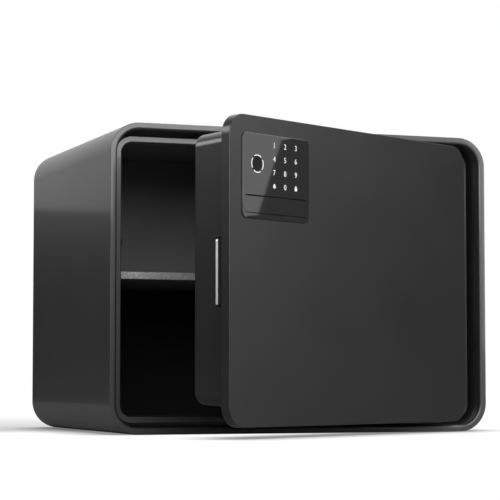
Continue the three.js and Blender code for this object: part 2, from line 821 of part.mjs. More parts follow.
// The carriage lies behind the bolt: a bar with a rack on its lower edge, and an arm up to the key cam.
function boltCarriage() {
  const leftX = boltInnerX - carriageOverlap;
  const firstTooth = pinionX - rackPitch;
  const rightX = firstTooth + rackPitch * (rackTeeth - 0.5);
  const armLeftX = lockX + camReach() + seatGap;
  const topZ = rackRootZ + carriageBarHeight;
  const slope = Math.tan(pressureAngle);
  const tipZ = rackPitchZ - rackModule;
  const halfAtPitch = rackPitch / 4 - gearBacklash / 4;
  const halfAtTip = halfAtPitch - rackModule * slope;
  const halfAtRoot = halfAtPitch + (rackRootZ - rackPitchZ) * slope;
  const outline = new THREE.Shape();
  outline.moveTo(leftX, topZ);
  outline.lineTo(leftX, rackRootZ);
  for (let tooth = 0; tooth < rackTeeth; tooth += 1) {
    const x = firstTooth + tooth * rackPitch;
    outline.lineTo(x - halfAtRoot, rackRootZ);
    outline.lineTo(x - halfAtTip, tipZ);
    outline.lineTo(x + halfAtTip, tipZ);
    outline.lineTo(x + halfAtRoot, rackRootZ);
  }
  outline.lineTo(rightX, rackRootZ);
  outline.lineTo(rightX, topZ);
  outline.lineTo(armLeftX + armWidth, topZ);
  outline.lineTo(armLeftX + armWidth, lockZ + armAboveLock);
  outline.lineTo(armLeftX, lockZ + armAboveLock);
  outline.lineTo(armLeftX, topZ);
  outline.closePath();
  return named('bolt_carriage', slab(outline, carriageFrontY, carriageRearY), zinc());
}

// A spur gear whose tooth flanks are involutes, with a tooth gap straight up to take the rack.
function pinionOutline() {
  const baseRadius = pitchRadius * Math.cos(pressureAngle);
  const tipRadius = pitchRadius + rackModule;
  const rootRadius = pitchRadius - rootDepth * rackModule;
  const involute = (angle) => Math.tan(angle) - angle;
  const flankSteps = 3;
  const halfAngleAt = (radius) => {
    const atPitch = Math.PI / (2 * pinionTeeth) - gearBacklash / (4 * pitchRadius);
    const roll = Math.acos(Math.min(1, baseRadius / radius));
    return atPitch + involute(pressureAngle) - involute(roll);
  };
  const radii = [rootRadius];
  for (let i = 0; i <= flankSteps; i += 1) {
    radii.push(baseRadius + ((tipRadius - baseRadius) * i) / flankSteps);
  }
  const points = [];
  for (let tooth = 0; tooth < pinionTeeth; tooth += 1) {
    const centre = Math.PI / 2 + ((tooth + 0.5) * 2 * Math.PI) / pinionTeeth;
    const rising = radii.map((r) => [r, centre - halfAngleAt(Math.max(r, baseRadius))]);
    const falling = radii.map((r) => [r, centre + halfAngleAt(Math.max(r, baseRadius))]).reverse();
    points.push(...rising, ...falling);
  }
  return new THREE.Shape(
    points.map(([r, a]) => new THREE.Vector2(pinionX + r * Math.cos(a), pinionZ + r * Math.sin(a))),
  );
}

function drivePinion() {
  const gear = slab(pinionOutline(), carriageFrontY, carriageRearY);
  const shaft = rod(
    'y',
    pinionShaftRadius,
    plateRearY + pinionShaftDepth,
    carriageRearY + pinionShaftReach,
    [pinionX, pinionZ],
  );
  return named('drive_pinion', gear.add(shaft), brass());
}

function gearboxHousing() {
  const frontFaceY = plateRearY + seatGap;
  const rearFaceY = boltFrontY - slideGap;
  const outline = roundedOutline(
    pinionX - gearboxWidth / 2,
    pinionX + gearboxWidth / 2,
    pinionZ - gearboxHeight / 2,
    pinionZ + gearboxHeight / 2,
    gearboxCornerRadius,
  );
  const boreFrontY = plateRearY + pinionShaftDepth - slideGap;
  const bore = rod('y', pinionShaftRadius + seatGap, boreFrontY, rearFaceY + through, [pinionX, pinionZ]);
  const housing = slab(outline, frontFaceY, rearFaceY, {
    round: gearboxRound,
    roundSteps: 1,
    curveSegments: 3,
  });
  return named('gearbox_housing', housing.subtract(bore), zinc());
}

function driveMotor() {
  const leftX = pinionX + gearboxWidth / 2 + seatGap;
  const centreY = plateRearY + seatGap + motorRadius + motorRise;
  const can = rod('x', motorRadius, leftX, leftX + motorLength, [centreY, pinionZ]);
  const endX = leftX + motorLength;
  const boss = rod('x', motorBossRadius, endX - rooted, endX + motorBossReach, [centreY, pinionZ], 16);
  return named('drive_motor', can.add(boss), steel());
}

// A grooved block on the plate that holds the bolt's upper or lower edge; side is 1 above, -1 below.
function boltGuide(name, side) {
  const edgeZ = boltMiddleZ + (side * boltHeight) / 2;
  const innerZ = edgeZ - side * guideHold;
  const outerZ = innerZ + side * guideHeight;
  const leftX = boxLeftX - boxDraft + guideInset;
  const rearFaceY = boltRearY + slideGap + guideRearWall;
  const lowZ = Math.min(innerZ, outerZ);
  const topZ = Math.max(innerZ, outerZ);
  const solid = block(leftX, leftX + guideLength, plateRearY + seatGap, rearFaceY, lowZ, topZ);
  const grooveEnd = edgeZ + side * slideGap;
  const groove = block(
    leftX - through,
    leftX + guideLength + through,
    boltFrontY - slideGap,
    boltRearY + slideGap,
    Math.min(innerZ - side * through, grooveEnd),
    Math.max(innerZ - side * through, grooveEnd),
  );
  return named(name, solid.subtract(groove), mattBlack());
}

function camReach() {
  return boltInnerX - carriageOverlap / 2 - lockX;
}

function lockCylinder() {
  const faceY = recessY - barrelProud;
  const barrel = rod('y', lockBarrelRadius, faceY, lockRearY, [lockX, lockZ]);
  const bore = rod('y', lockPlugRadius + slideGap, faceY - through, lockRearY + through, [lockX, lockZ]);
  return named('lock_cylinder', barrel.subtract(bore), steel());
}

function keyPlug() {
  const faceY = recessY - plugProud;
  const rearFaceY = carriageFrontY - seatGap;
  const plug = rod('y', lockPlugRadius, faceY, rearFaceY, [lockX, lockZ]);
  const slot = block(
    lockX - keySlotWidth / 2,
    lockX + keySlotWidth / 2,
    faceY - through,
    faceY + keySlotDepth,
    lockZ - keySlotHeight / 2,
    lockZ + keySlotHeight / 2,
  );
  return named('key_plug', plug.subtract(slot), brass());
}

// The cam hangs straight down at rest and sweeps a quarter turn towards the carriage's arm.
function releaseCam() {
  const length = Math.sqrt((camReach() - seatGap) ** 2 - camHalfWidth ** 2);
  const outline = new THREE.Shape();
  outline.moveTo(lockX + camHalfWidth, lockZ);
  outline.absarc(lockX, lockZ, camHalfWidth, 0, Math.PI, false);
  outline.lineTo(lockX - camHalfWidth, lockZ - length);
  outline.lineTo(lockX + camHalfWidth, lockZ - length);
  outline.closePath();
  return named('release_cam', slab(outline, carriageFrontY, carriageRearY), zinc());
}

// Square at its upper corners, where the flap turns, and rounded at its lower ones.
function coverOutline(grown) {
  const radius = coverCornerRadius + grown;
  const leftX = coverLeftX + coverCornerRadius;
  const rightX = coverRightX - coverCornerRadius;
  const lowZ = coverLowZ + coverCornerRadius;
  const outline = new THREE.Shape();
  outline.moveTo(coverRightX + grown, coverTopZ + grown);
  outline.lineTo(coverLeftX - grown, coverTopZ + grown);
  outline.lineTo(coverLeftX - grown, lowZ);
  outline.absarc(leftX, lowZ, radius, Math.PI, 1.5 * Math.PI, false);
  outline.lineTo(rightX, coverLowZ - grown);
  outline.absarc(rightX, lowZ, radius, 1.5 * Math.PI, 2 * Math.PI, false);
  outline.closePath();
  return outline;
}

function coverOpening(fromY, toY) {
  return slab(coverOutline(coverSeam), fromY, toY, { curveSegments: 3 });
}

function keypadFascia() {
  const edge = section(panelLeftX, panelRightX, panelLowZ, panelTopZ, panelCornerRadius);
  const shoulderY = panelFrontY + panelEdgeDrop;
  const face = lofted(
    [
      insetSection(edge, panelEdgeWidth, panelFrontY),
      insetSection(edge, (panelEdgeWidth + panelEdgeRound) / 2, panelFrontY + panelEdgeDrop / 4),
      insetSection(edge, panelEdgeRound, shoulderY),
      insetSection(edge, 0, shoulderY + panelEdgeRound),
      insetSection(edge, 0, fasciaRearY),
    ],
    5,
  );
  const sensorHole = rod(
    'y',
    sensorRingRadius + sensorSeam,
    panelFrontY - through,
    fasciaRearY + through,
    [sensorX, sensorZ],
    40,
  );
  const solid = face
    .subtract(sensorHole)
    .subtract(coverOpening(panelFrontY - through, fasciaRearY + through));
  return named('keypad_fascia', solid, glossBlack());
}

function keypadHousing() {
  const frontFaceY = fasciaRearY + seatGap;
  const rearFaceY = pocketY - seatGap;
  const outline = roundedOutline(panelLeftX, panelRightX, panelLowZ, panelTopZ, panelCornerRadius);
  const tray = slab(outline, frontFaceY, rearFaceY, { curveSegments: 5 });
  const boss = block(
    panelLeftX + bossInsetX,
    panelRightX - bossInsetX,
    rearFaceY - rooted,
    plateRearY + bossReach,
    panelTopZ - bossInsetTop - bossHeight,
    panelTopZ - bossInsetTop,
  );
  const socketX = panelLeftX + socketOffsetX;
  const socketHole = block(
    socketX - socketWidth / 2 - seatGap,
    socketX + socketWidth / 2 + seatGap,
    frontFaceY,
    rearFaceY + through,
    lockZ - socketHeight / 2 - seatGap,
    lockZ + socketHeight / 2 + seatGap,
  );
  const lockHole = rod('y', lockBarrelRadius + seatGap, frontFaceY, rearFaceY + through, [lockX, lockZ]);
  const sensorSeat = rod(
    'y',
    sensorRingRadius + sensorSeam,
    frontFaceY - through,
    frontFaceY + sensorSeatDepth,
    [sensorX, sensorZ],
    40,
  );
  const solid = tray
    .add(boss)
    .subtract(coverOpening(frontFaceY - through, recessY))
    .subtract(socketHole)
    .subtract(lockHole)
    .subtract(sensorSeat);
  return named('keypad_housing', solid, mattBlack());
}

function fingerprintSensor() {
  const radius = sensorRingRadius - sensorRingWall - sensorSeam;
  const rearY = fasciaRearY + sensorSeatDepth;
  const faceY = panelFrontY + sensorSink;
  const dishSteps = 4;
  const dish = Array.from({ length: dishSteps + 1 }, (_, step) => {
    const share = step / dishSteps;
    return [radius * share, faceY + sensorDish * (1 - share * share)];
  });
  const profile = [...dish, [radius, rearY], [0, rearY]];
  return named('fingerprint_sensor', turned(profile, [sensorX, sensorZ]), glossBlack());
}

// A light guide: one ring, with four raised arcs that show at the face.
function sensorLightRing() {
  const outer = sensorRingRadius;
  const inner = sensorRingRadius - sensorRingWall;
  const rearY = fasciaRearY + sensorSeatDepth;
  const stepY = panelFrontY + ringArcStep;
  const ring = new THREE.Shape();
  ring.absarc(sensorX, sensorZ, outer, 0, 2 * Math.PI, false);
  const bore = new THREE.Path();
  bore.absarc(sensorX, sensorZ, inner, 0, 2 * Math.PI, true);
  ring.holes.push(bore);
  let solid = slab(ring, stepY, rearY, { curveSegments: 16 });
  const halfArc = THREE.MathUtils.degToRad(90 - ringArcGap) / 2;
  for (let quarter = 0; quarter < 4; quarter += 1) {
    const middle = (quarter * Math.PI) / 2;
    const arc = new THREE.Shape();
    arc.absarc(sensorX, sensorZ, outer - ringArcInset, middle - halfArc, middle + halfArc, false);
    arc.absarc(sensorX, sensorZ, inner + ringArcInset, middle + halfArc, middle - halfArc, true);
    solid = solid.add(slab(arc, panelFrontY - ringArcProud, stepY + ringArcRoot, { curveSegments: 5 }));
  }
  return named('sensor_light_ring', solid, lightGuide());
}

// The flap swings on its rounded upper edge.
function keyCover() {
  const half = coverThickness / 2;
  const outline = new THREE.Shape();
  outline.moveTo(coverPivotY + half, coverPivotZ);
  outline.absarc(coverPivotY, coverPivotZ, half, 0, Math.PI, false);
  outline.lineTo(coverPivotY - half, coverLowZ);
  outline.lineTo(coverPivotY + half, coverLowZ);
  outline.closePath();
  const geometry = new THREE.ExtrudeGeometry(outline, {
    depth: coverWidth,
    bevelEnabled: false,
    curveSegments: 6,
  });
  geometry.rotateX(Math.PI / 2);
  geometry.rotateZ(Math.PI / 2);
  geometry.translate(coverLeftX, 0, 0);
  const front = slab(coverOutline(0), coverPivotY - coverThickness, coverPivotY + coverThickness, {
    curveSegments: 3,
  });
  return named('key_cover', toSolid(geometry).intersect(front), glossBlack());
}

function powerSocket() {
  const x = panelLeftX + socketOffsetX;
  const faceY = recessY + seatGap;
  const body = block(
    x - socketWidth / 2,
    x + socketWidth / 2,
    faceY,
    plateRearY + socketRearReach,
    lockZ - socketHeight / 2,
    lockZ + socketHeight / 2,
  );
  const mouth = block(
    x - socketMouthWidth / 2,
    x + socketMouthWidth / 2,
    faceY - through,
    faceY + socketMouthDepth,
    lockZ - socketMouthHeight / 2,
    lockZ + socketMouthHeight / 2,
  );
  return named('power_socket', body.subtract(mouth), zinc());
}

function boardCorners() {
  const left = plateLeftX + boardInsetX;
  const top = plateTopZ - boardInsetTop;
  return [
    [left + studInset, top - studInset],
    [left + boardWidth - studInset, top - studInset],
    [left + studInset, top - boardHeight + studInset],
    [left + boardWidth - studInset, top - boardHeight + studInset],
  ];
}

function controlBoard() {
  const left = plateLeftX + boardInsetX;
  const top = plateTopZ - boardInsetTop;
  const fromY = plateRearY + boardStandoff + seatGap;
  const toY = fromY + boardThickness;
  const outline = roundedOutline(left, left + boardWidth, top - boardHeight, top, boardCornerRadius);
  let board = slab(outline, fromY, toY);
  for (const { x, drop, width, height, rise } of [processor, driverChip, cellSocket, motorSocket]) {
    const lowZ = top - drop;
    board = board.add(
      block(left + x, left + x + width, toY - chipRoot, toY + rise, lowZ, lowZ + height),
    );
  }
  for (const x of [canFirstX, canFirstX + canPitch]) {
    board = board.add(rod('y', canRadius, toY - chipRoot, toY + canRise, [left + x, top - canDrop], 20));
  }
  return named('control_board', board, boardGreen());
}

function batteryTray() {
  const frontFaceY = trayRearY - trayDepth;
  const tray = block(trayLeftX, trayRightX, frontFaceY, trayRearY, trayLow, trayTopZ);
  const hollow = block(
    trayLeftX + trayWall,
    trayRightX - trayWall,
    frontFaceY + trayWall,
    trayRearY + through,
    trayLow + trayWall,
    trayTopZ - trayWall,
  );
  return named('battery_tray', tray.subtract(hollow), mattBlack());
}

function batteryCell(name, index) {
  const x = trayLeftX + trayWall + cellPitch * (index + 0.5);
  const centreY = trayRearY - trayDepth + trayWall + seatGap + cellRadius;
  const lowZ = trayLow + trayWall + seatGap;
  const flipped = index % 2 === 1;
  const canFrom = flipped ? lowZ + cellCapHeight : lowZ;
  const can = rod('z', cellRadius, canFrom, canFrom + cellLength, [x, centreY]);
  const capFrom = flipped ? lowZ : lowZ + cellLength - rooted;
  const cap = rod('z', cellCapRadius, capFrom, capFrom + cellCapHeight + rooted, [x, centreY], 16);
  return named(name, can.add(cap), cellWrap());
}

function batteryLid() {
  const fromY = boxRearY + seatGap;
  const toY = fromY + lidThickness;
  const left = trayLeftX + trayWall - lidOverlap;
  const right = trayRightX - trayWall + lidOverlap;
  const low = trayLow + trayWall - lidOverlap;
  const top = trayTopZ - trayWall + lidOverlap;
  let lid = slab(roundedOutline(left, right, low, top, lidCornerRadius), fromY, toY, {
    round: lidRound,
    roundSteps: 1,
    curveSegments: 3,
  });
  for (let i = 0; i < lidRibCount; i += 1) {
    const x = left + lidRibInset + i * lidRibPitch;
    const middle = (low + top) / 2;
    const half = lidRibLength / 2;
    lid = lid.add(
      block(x, x + lidRibWidth, toY - lidRound, toY + lidRibHeight, middle - half, middle + half),
    );
  }
  return named('battery_lid', lid, mattBlack());
}

function buttonCentre() {
  return [plateRightX - buttonInsetHinge, plateTopZ - buttonInsetTop];
}

function resetButton() {
  const centre = buttonCentre();
  const flangeToY = boxInnerRearY - seatGap;
  const flangeFromY = flangeToY - buttonFlangeThickness;
  const profile = [
    [0, flangeFromY - buttonStemLength],
    [buttonStemRadius, flangeFromY - buttonStemLength],
    [buttonStemRadius, flangeFromY],
    [buttonRadius + buttonFlange, flangeFromY],
    [buttonRadius + buttonFlange, flangeToY],
    [buttonRadius, flangeToY],
    [buttonRadius, boxRearY + buttonProud - buttonChamfer],
    [buttonRadius - buttonChamfer, boxRearY + buttonProud],
    [0, boxRearY + buttonProud],
  ];
  return named('reset_button', turned(profile, centre, 24), redPlastic());
}

// A switch on a post of the box's depth that the button presses.
function resetSwitch() {
  const [x, z] = buttonCentre();
  const stemEndY = boxInnerRearY - seatGap - buttonFlangeThickness - buttonStemLength;
  const rearFaceY = stemEndY - buttonTravel - seatGap;
  const half = switchWidth / 2;
  const body = block(x - half, x + half, rearFaceY - switchDepth, rearFaceY, z - half, z + half);
  const postRearY = rearFaceY - switchDepth + rooted;
  const post = rod('y', switchPostRadius, plateRearY + seatGap, postRearY, [x, z], 16);
  return named('reset_switch', body.add(post), mattBlack());
}

// Hooks behind the jamb when the door is shut, and follows the hinge's arc clear of it.
function hingeSideBar() {
  const boxX = boxRightX + boxDraft * (1 - barDepth / boxDepth) + draftGap;
  const fromY = plateRearY + barDepth;
  const lowZ = boltMiddleZ - barHeight / 2;
  const topZ = boltMiddleZ + barHeight / 2;
  const hook = block(boxX, boxX + barReach, fromY, fromY + barThickness, lowZ, topZ);
  const foot = block(boxX, boxX + barThickness, fromY, fromY + barFoot, lowZ, topZ);
  return named('hinge_side_bar', hook.add(foot), zinc());
}

// Assembly
const safe = new THREE.Group();
const [plugLeftX, plugRightX] = anchorSpots();

safe.add(
  outerShell(),
  backPanel(),
  doorFrame(),
  shelfBoard(),
  shelfLiner(),
  shelfRail('shelf_rail_left', -1),
  shelfRail('shelf_rail_right', 1),
  floorMat(),
  floorPlug('anchor_plug_floor_left', plugLeftX),
  floorPlug('anchor_plug_floor_right', plugRightX),
  rearPlug('anchor_plug_rear_left', plugLeftX),
  rearPlug('anchor_plug_rear_right', plugRightX),
  hingeBodyLeaf('hinge_body_leaf_upper', topHingeZ),
  hingeBodyLeaf('hinge_body_leaf_lower', lowHingeZ),
  hingePin('hinge_pin_upper', topHingeZ),
  hingePin('hinge_pin_lower', lowHingeZ),
);

const doorPieces = new THREE.Group();
doorPieces.position.set(-hingeAxisX, -hingeAxisY, 0);
doorPieces.add(
  doorPlate(),
  doorBox(),
  hingeDoorLeaf('hinge_door_leaf_upper', topHingeZ),
  hingeDoorLeaf('hinge_door_leaf_lower', lowHingeZ),
  keypadHousing(),
  keypadFascia(),
  fingerprintSensor(),
  sensorLightRing(),
  keyCover(),
  powerSocket(),
  lockCylinder(),
  keyPlug(),
  releaseCam(),
  boltPlate(),
  boltCarriage(),
  boltGuide('bolt_guide_upper', 1),
  boltGuide('bolt_guide_lower', -1),
  drivePinion(),
  gearboxHousing(),
  driveMotor(),
  controlBoard(),
  batteryTray(),
  batteryLid(),
  resetButton(),
  resetSwitch(),
  hingeSideBar(),
);
for (let index = 0; index < cellCount; index += 1) {
  doorPieces.add(batteryCell(`battery_cell_${index + 1}`, index));
}

const door = new THREE.Group();
door.position.set(hingeAxisX, hingeAxisY, 0);
door.rotation.z = THREE.MathUtils.degToRad(restAngle);
door.add(doorPieces);
safe.add(door);

export default safe;
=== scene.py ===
# A biometric safe with its door ajar: fine surfaces, finishes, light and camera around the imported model.
# Metres, in the model's own frame. Door pieces are made as if the door were shut, then swung open.

import json
import math

import bmesh
import bpy
from mathutils import Matrix, Vector, noise


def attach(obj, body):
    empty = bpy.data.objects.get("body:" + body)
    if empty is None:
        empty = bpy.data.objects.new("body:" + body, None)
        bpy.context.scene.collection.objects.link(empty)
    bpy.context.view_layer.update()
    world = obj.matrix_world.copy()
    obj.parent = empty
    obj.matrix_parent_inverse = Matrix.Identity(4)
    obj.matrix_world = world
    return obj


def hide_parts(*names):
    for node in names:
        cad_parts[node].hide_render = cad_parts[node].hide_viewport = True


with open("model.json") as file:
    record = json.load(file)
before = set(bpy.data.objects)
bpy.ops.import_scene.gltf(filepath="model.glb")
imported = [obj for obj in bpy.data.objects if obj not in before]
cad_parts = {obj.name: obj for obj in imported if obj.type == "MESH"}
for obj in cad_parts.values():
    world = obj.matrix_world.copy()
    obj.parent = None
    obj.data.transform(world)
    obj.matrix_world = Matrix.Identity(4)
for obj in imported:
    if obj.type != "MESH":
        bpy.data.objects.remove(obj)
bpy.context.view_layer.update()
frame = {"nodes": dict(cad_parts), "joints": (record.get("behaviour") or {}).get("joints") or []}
cadNodes = frame["nodes"]
print("frame loaded:", len(cadNodes), "nodes")

# The door hangs on this joint, and its lower limit is the shut door.
doorHinge = next(joint for joint in frame["joints"] if joint["name"] == "door_hinge")
openAngle = math.radians(-doorHinge["range_deg"][0])
hingePoint = Vector(doorHinge["pos_m"])
swingOpen = (
    Matrix.Translation(hingePoint)
    @ Matrix.Rotation(openAngle, 4, "Z")
    @ Matrix.Translation(-hingePoint)
)
swingShut = swingOpen.inverted()
doorBodies = {"door", "bolt", "pinion", "key_core", "key_flap", "battery_door", "reset_key"}

seatGap = 0.0003  # between a piece and the one that it is set in
through = 0.002  # how far a cut runs past the face that it opens
leastRadius = 0.0001  # of a corner
cornerSteps = 20  # of a large rounded corner
smallSteps = 10  # of a small one


# Places read from the model
def boxOf(node, shut=False):
    turn = swingShut if shut else Matrix.Identity(4)
    points = [turn @ vertex.co for vertex in cadNodes[node].data.vertices]
    low = Vector([min(point[axis] for point in points) for axis in range(3)])
    high = Vector([max(point[axis] for point in points) for axis in range(3)])
    return low, high


def centreOf(node):
    low, high = boxOf(node)
    return (low + high) / 2


# Outlines are (left, right, low, top, corner radius) in the front view.
def outlineOf(low, high, radius):
    return (low.x, high.x, low.z, high.z, radius)


def inset(outline, by):
    left, right, low, top, radius = outline
    return (left + by, right - by, low + by, top - by, max(radius - by, leastRadius))


# Part of an ellipse, in degrees.
def curveOf(x, z, radiusX, radiusZ, fromAngle, toAngle, steps=smallSteps):
    turns = [math.radians(fromAngle + (toAngle - fromAngle) * step / steps) for step in range(steps + 1)]
    return [(x + radiusX * math.cos(a), z + radiusZ * math.sin(a)) for a in turns]


def atDepth(points, y):
    return [Vector((x, y, z)) for x, z in points]


def ringAt(outline, y, steps):
    left, right, low, top, radius = outline
    corners = [(right - radius, top - radius), (left + radius, top - radius)]
    corners += [(left + radius, low + radius), (right - radius, low + radius)]
    points = []
    for quarter, corner in enumerate(corners):
        points += curveOf(*corner, radius, radius, 90 * quarter, 90 * quarter + 90, steps)
    return atDepth(points, y)


# The rings of one eased edge from the face inwards; a flared one is the mouth of a cut instead.
def edgeRings(outline, faceY, direction, ease, steps, flared=False, edgeSteps=6):
    bend = curveOf(ease, faceY + direction * ease, ease, direction * ease, 270, 180, edgeSteps)
    return [ringAt(inset(outline, -by if flared else by), y, steps) for by, y in bend]


def slabRings(outline, frontY, rearY, frontEase, rearEase, steps=cornerSteps):
    front = edgeRings(outline, frontY, 1, frontEase, steps)
    rear = edgeRings(outline, rearY, -1, rearEase, steps)
    return front + rear[::-1]


def loft(rings, loop=False):
    bm = bmesh.new()
    rows = [[bm.verts.new(point) for point in ring] for ring in rings]
    pairs = list(zip(rows, rows[1:])) + ([(rows[-1], rows[0])] if loop else [])
    for first, second in pairs:
        count = len(first)
        for i in range(count):
            j = (i + 1) % count
            bm.faces.new((first[i], first[j], second[j], second[i]))
    if not loop:
        bm.faces.new(rows[0])
        bm.faces.new(rows[-1][::-1])
    bmesh.ops.recalc_face_normals(bm, faces=bm.faces)
    return bm


def blockMesh(low, high):
    bm = bmesh.new()
    bmesh.ops.create_cube(bm, size=1)
    middle = (Vector(low) + Vector(high)) / 2
    size = Vector(high) - Vector(low)
    bmesh.ops.scale(bm, vec=size, verts=bm.verts)
    bmesh.ops.translate(bm, vec=middle, verts=bm.verts)
    return bm


# A turned shape round an axis along Y; the profile gives (radius, depth) from axis to axis.
def turnedMesh(profile, centre, steps=64):
    bm = bmesh.new()
    x, z = centre
    rows = []
    for radius, y in profile:
        if radius == 0:
            rows.append([bm.verts.new((x, y, z))])
            continue
        circle = curveOf(x, z, radius, radius, 0, 360, steps)[:-1]
        rows.append([bm.verts.new(point) for point in atDepth(circle, y)])
    for first, second in zip(rows, rows[1:]):
        for i in range(steps):
            j = (i + 1) % steps
            corners = [first[i % len(first)], first[j % len(first)]]
            corners += [second[j % len(second)], second[i % len(second)]]
            bm.faces.new(list(dict.fromkeys(corners)))
    bmesh.ops.remove_doubles(bm, verts=bm.verts, dist=1e-7)
    bmesh.ops.recalc_face_normals(bm, faces=bm.faces)
    return bm


def rodMesh(axis, radius, fromAt, toAt, centre, steps=48):
    bm = turnedMesh([(0, fromAt), (radius, fromAt), (radius, toAt), (0, toAt)], (0, 0), steps)
    place = (centre[0], 0, centre[1])
    if axis == "z":
        bmesh.ops.rotate(bm, matrix=Matrix.Rotation(math.pi / 2, 3, "X"), verts=bm.verts)
        place = (centre[0], centre[1], 0)
    bmesh.ops.translate(bm, vec=place, verts=bm.verts)
    return bm


# Several shapes as one mesh.
def joinedMesh(shapes):
    whole = bmesh.new()
    for bm in shapes:
        mesh = bpy.data.meshes.new("shape")
        bm.to_mesh(mesh)
        bm.free()
        whole.from_mesh(mesh)
        bpy.data.meshes.remove(mesh)
    return whole


def pieceOf(name, bm, finishes=()):
    mesh = bpy.data.meshes.new(name)
    bm.to_mesh(mesh)
    bm.free()
    for finish in finishes:
        mesh.materials.append(finish)
    piece = bpy.data.objects.new(name, mesh)
    bpy.context.scene.collection.objects.link(piece)
    return piece


def applyModifiers(piece):
    graph = bpy.context.evaluated_depsgraph_get()
    fresh = bpy.data.meshes.new_from_object(piece.evaluated_get(graph))
    worn = piece.data
    piece.modifiers.clear()
    piece.data = fresh
    bpy.data.meshes.remove(worn)
    fresh.name = piece.name


def combine(piece, bm, operation):
    tool = pieceOf("tool", bm)
    modifier = piece.modifiers.new("cut", "BOOLEAN")
    modifier.operation = operation
    modifier.solver = "EXACT"
    modifier.object = tool
    applyModifiers(piece)
    shape = tool.data
    bpy.data.objects.remove(tool)
    bpy.data.meshes.remove(shape)


def cutAway(piece, bm):
    combine(piece, bm, "DIFFERENCE")


def addOn(piece, bm):
    combine(piece, bm, "UNION")


# Eased edges, smooth shading with crisp corners, the finish, and the body that carries the piece.
# Without a material here, the piece keeps the finishes that it was made with.
def settle(piece, body, material, replaced=(), ease=0.0, sharpAngle=32):
    if ease:
        bevel = piece.modifiers.new("ease", "BEVEL")
        bevel.width = ease
        bevel.segments = 2
        bevel.limit_method = "ANGLE"
        bevel.angle_limit = math.radians(40)
        bevel.use_clamp_overlap = True
        applyModifiers(piece)
    mesh = piece.data
    mesh.shade_smooth()
    mesh.set_sharp_from_angle(angle=math.radians(sharpAngle))
    weighted = piece.modifiers.new("faces", "WEIGHTED_NORMAL")
    weighted.keep_sharp = True
    applyModifiers(piece)
    if body in doorBodies:
        piece.data.transform(swingOpen)
    if material:
        piece.data.materials.clear()
        piece.data.materials.append(material)
    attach(piece, body)
    if replaced:
        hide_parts(*replaced)


# Node helpers. A value is a socket to link or a constant, under its input's name or number (i0, i1).
def feed(node, **values):
    for key, value in values.items():
        socket = node.inputs[int(key[1:]) if key[1:].isdigit() else key.replace("_", " ")]
        if isinstance(value, bpy.types.NodeSocket):
            node.id_data.links.new(value, socket)
        else:
            socket.default_value = value
    return node


def addNode(tree, kind, settings=None, **values):
    node = tree.nodes.new(kind)
    for key, value in (settings or {}).items():
        setattr(node, key, value)
    return feed(node, **values)


def mathNode(tree, operation, first, second, clamp=False):
    settings = {"operation": operation, "use_clamp": clamp}
    return addNode(tree, "ShaderNodeMath", settings, i0=first, i1=second).outputs[0]


def product(tree, first, *others):
    for other in others:
        first = mathNode(tree, "MULTIPLY", first, other)
    return first


def mixColour(tree, share, first, second):
    return addNode(tree, "ShaderNodeMix", {"data_type": "RGBA"}, i0=share, i6=first, i7=second).outputs[2]


# 0 to 1 as the value goes from one bound to the other.
def rampNode(tree, value, start, end):
    ramp = addNode(tree, "ShaderNodeMapRange", {"clamp": True}, Value=value, From_Min=start, From_Max=end)
    return ramp.outputs[0]


def placeIn(tree):
    return addNode(tree, "ShaderNodeTexCoord").outputs["Object"]


def noiseNode(tree, scale, detail, roughness, distortion=0.0, place=None):
    values = {"Scale": scale, "Detail": detail, "Roughness": roughness, "Distortion": distortion}
    return addNode(tree, "ShaderNodeTexNoise", Vector=place or placeIn(tree), **values).outputs["Fac"]


def newTree(kind, name, inputs, outputs):
    tree = bpy.data.node_groups.new(name, kind)
    for direction, sockets in (("INPUT", inputs), ("OUTPUT", outputs)):
        for socketName, socketKind in sockets.items():
            socketType = "NodeSocket" + socketKind
            tree.interface.new_socket(name=socketName, in_out=direction, socket_type=socketType)
    return tree, addNode(tree, "NodeGroupInput").outputs, addNode(tree, "NodeGroupOutput")


def groupNode(tree, group, **values):
    return addNode(tree, "ShaderNodeGroup", {"node_tree": group}, **values).outputs


# Fine grain of a sprayed or moulded surface: a height for the bump, and clouds for tint and roughness.
def makeGrainGroup():
    inputs = {"Grain Size": "Float", "Cloud Size": "Float"}
    outputs = {"Height": "Float", "Cloud": "Float"}
    group, given, leave = newTree("ShaderNodeTree", "surfaceGrain", inputs, outputs)
    fine = noiseNode(group, mathNode(group, "DIVIDE", 1.0, given["Grain Size"]), detail=2.0, roughness=0.55)
    cloud = noiseNode(group, mathNode(group, "DIVIDE", 1.0, given["Cloud Size"]), detail=3.0, roughness=0.5)
    feed(leave, Height=fine, Cloud=cloud)
    return group


# A mask of 1 on convex edges, broken up a little, for paint that has rubbed thin there.
def makeEdgeGroup(gain=6.0):
    inputs = {"Reach": "Float", "Break Up": "Float"}
    group, given, leave = newTree("ShaderNodeTree", "rubbedEdges", inputs, {"Mask": "Float"})
    rounded = addNode(group, "ShaderNodeBevel", {"samples": 4}, Radius=given["Reach"]).outputs[0]
    flat = addNode(group, "ShaderNodeNewGeometry").outputs["Normal"]
    match = addNode(group, "ShaderNodeVectorMath", {"operation": "DOT_PRODUCT"}, i0=rounded, i1=flat)
    bend = mathNode(group, "SUBTRACT", 1.0, match.outputs["Value"], clamp=True)
    thin = product(group, noiseNode(group, scale=90.0, detail=4.0, roughness=0.6), given["Break Up"])
    feed(leave, Mask=mathNode(group, "SUBTRACT", product(group, bend, gain), thin, clamp=True))
    return group


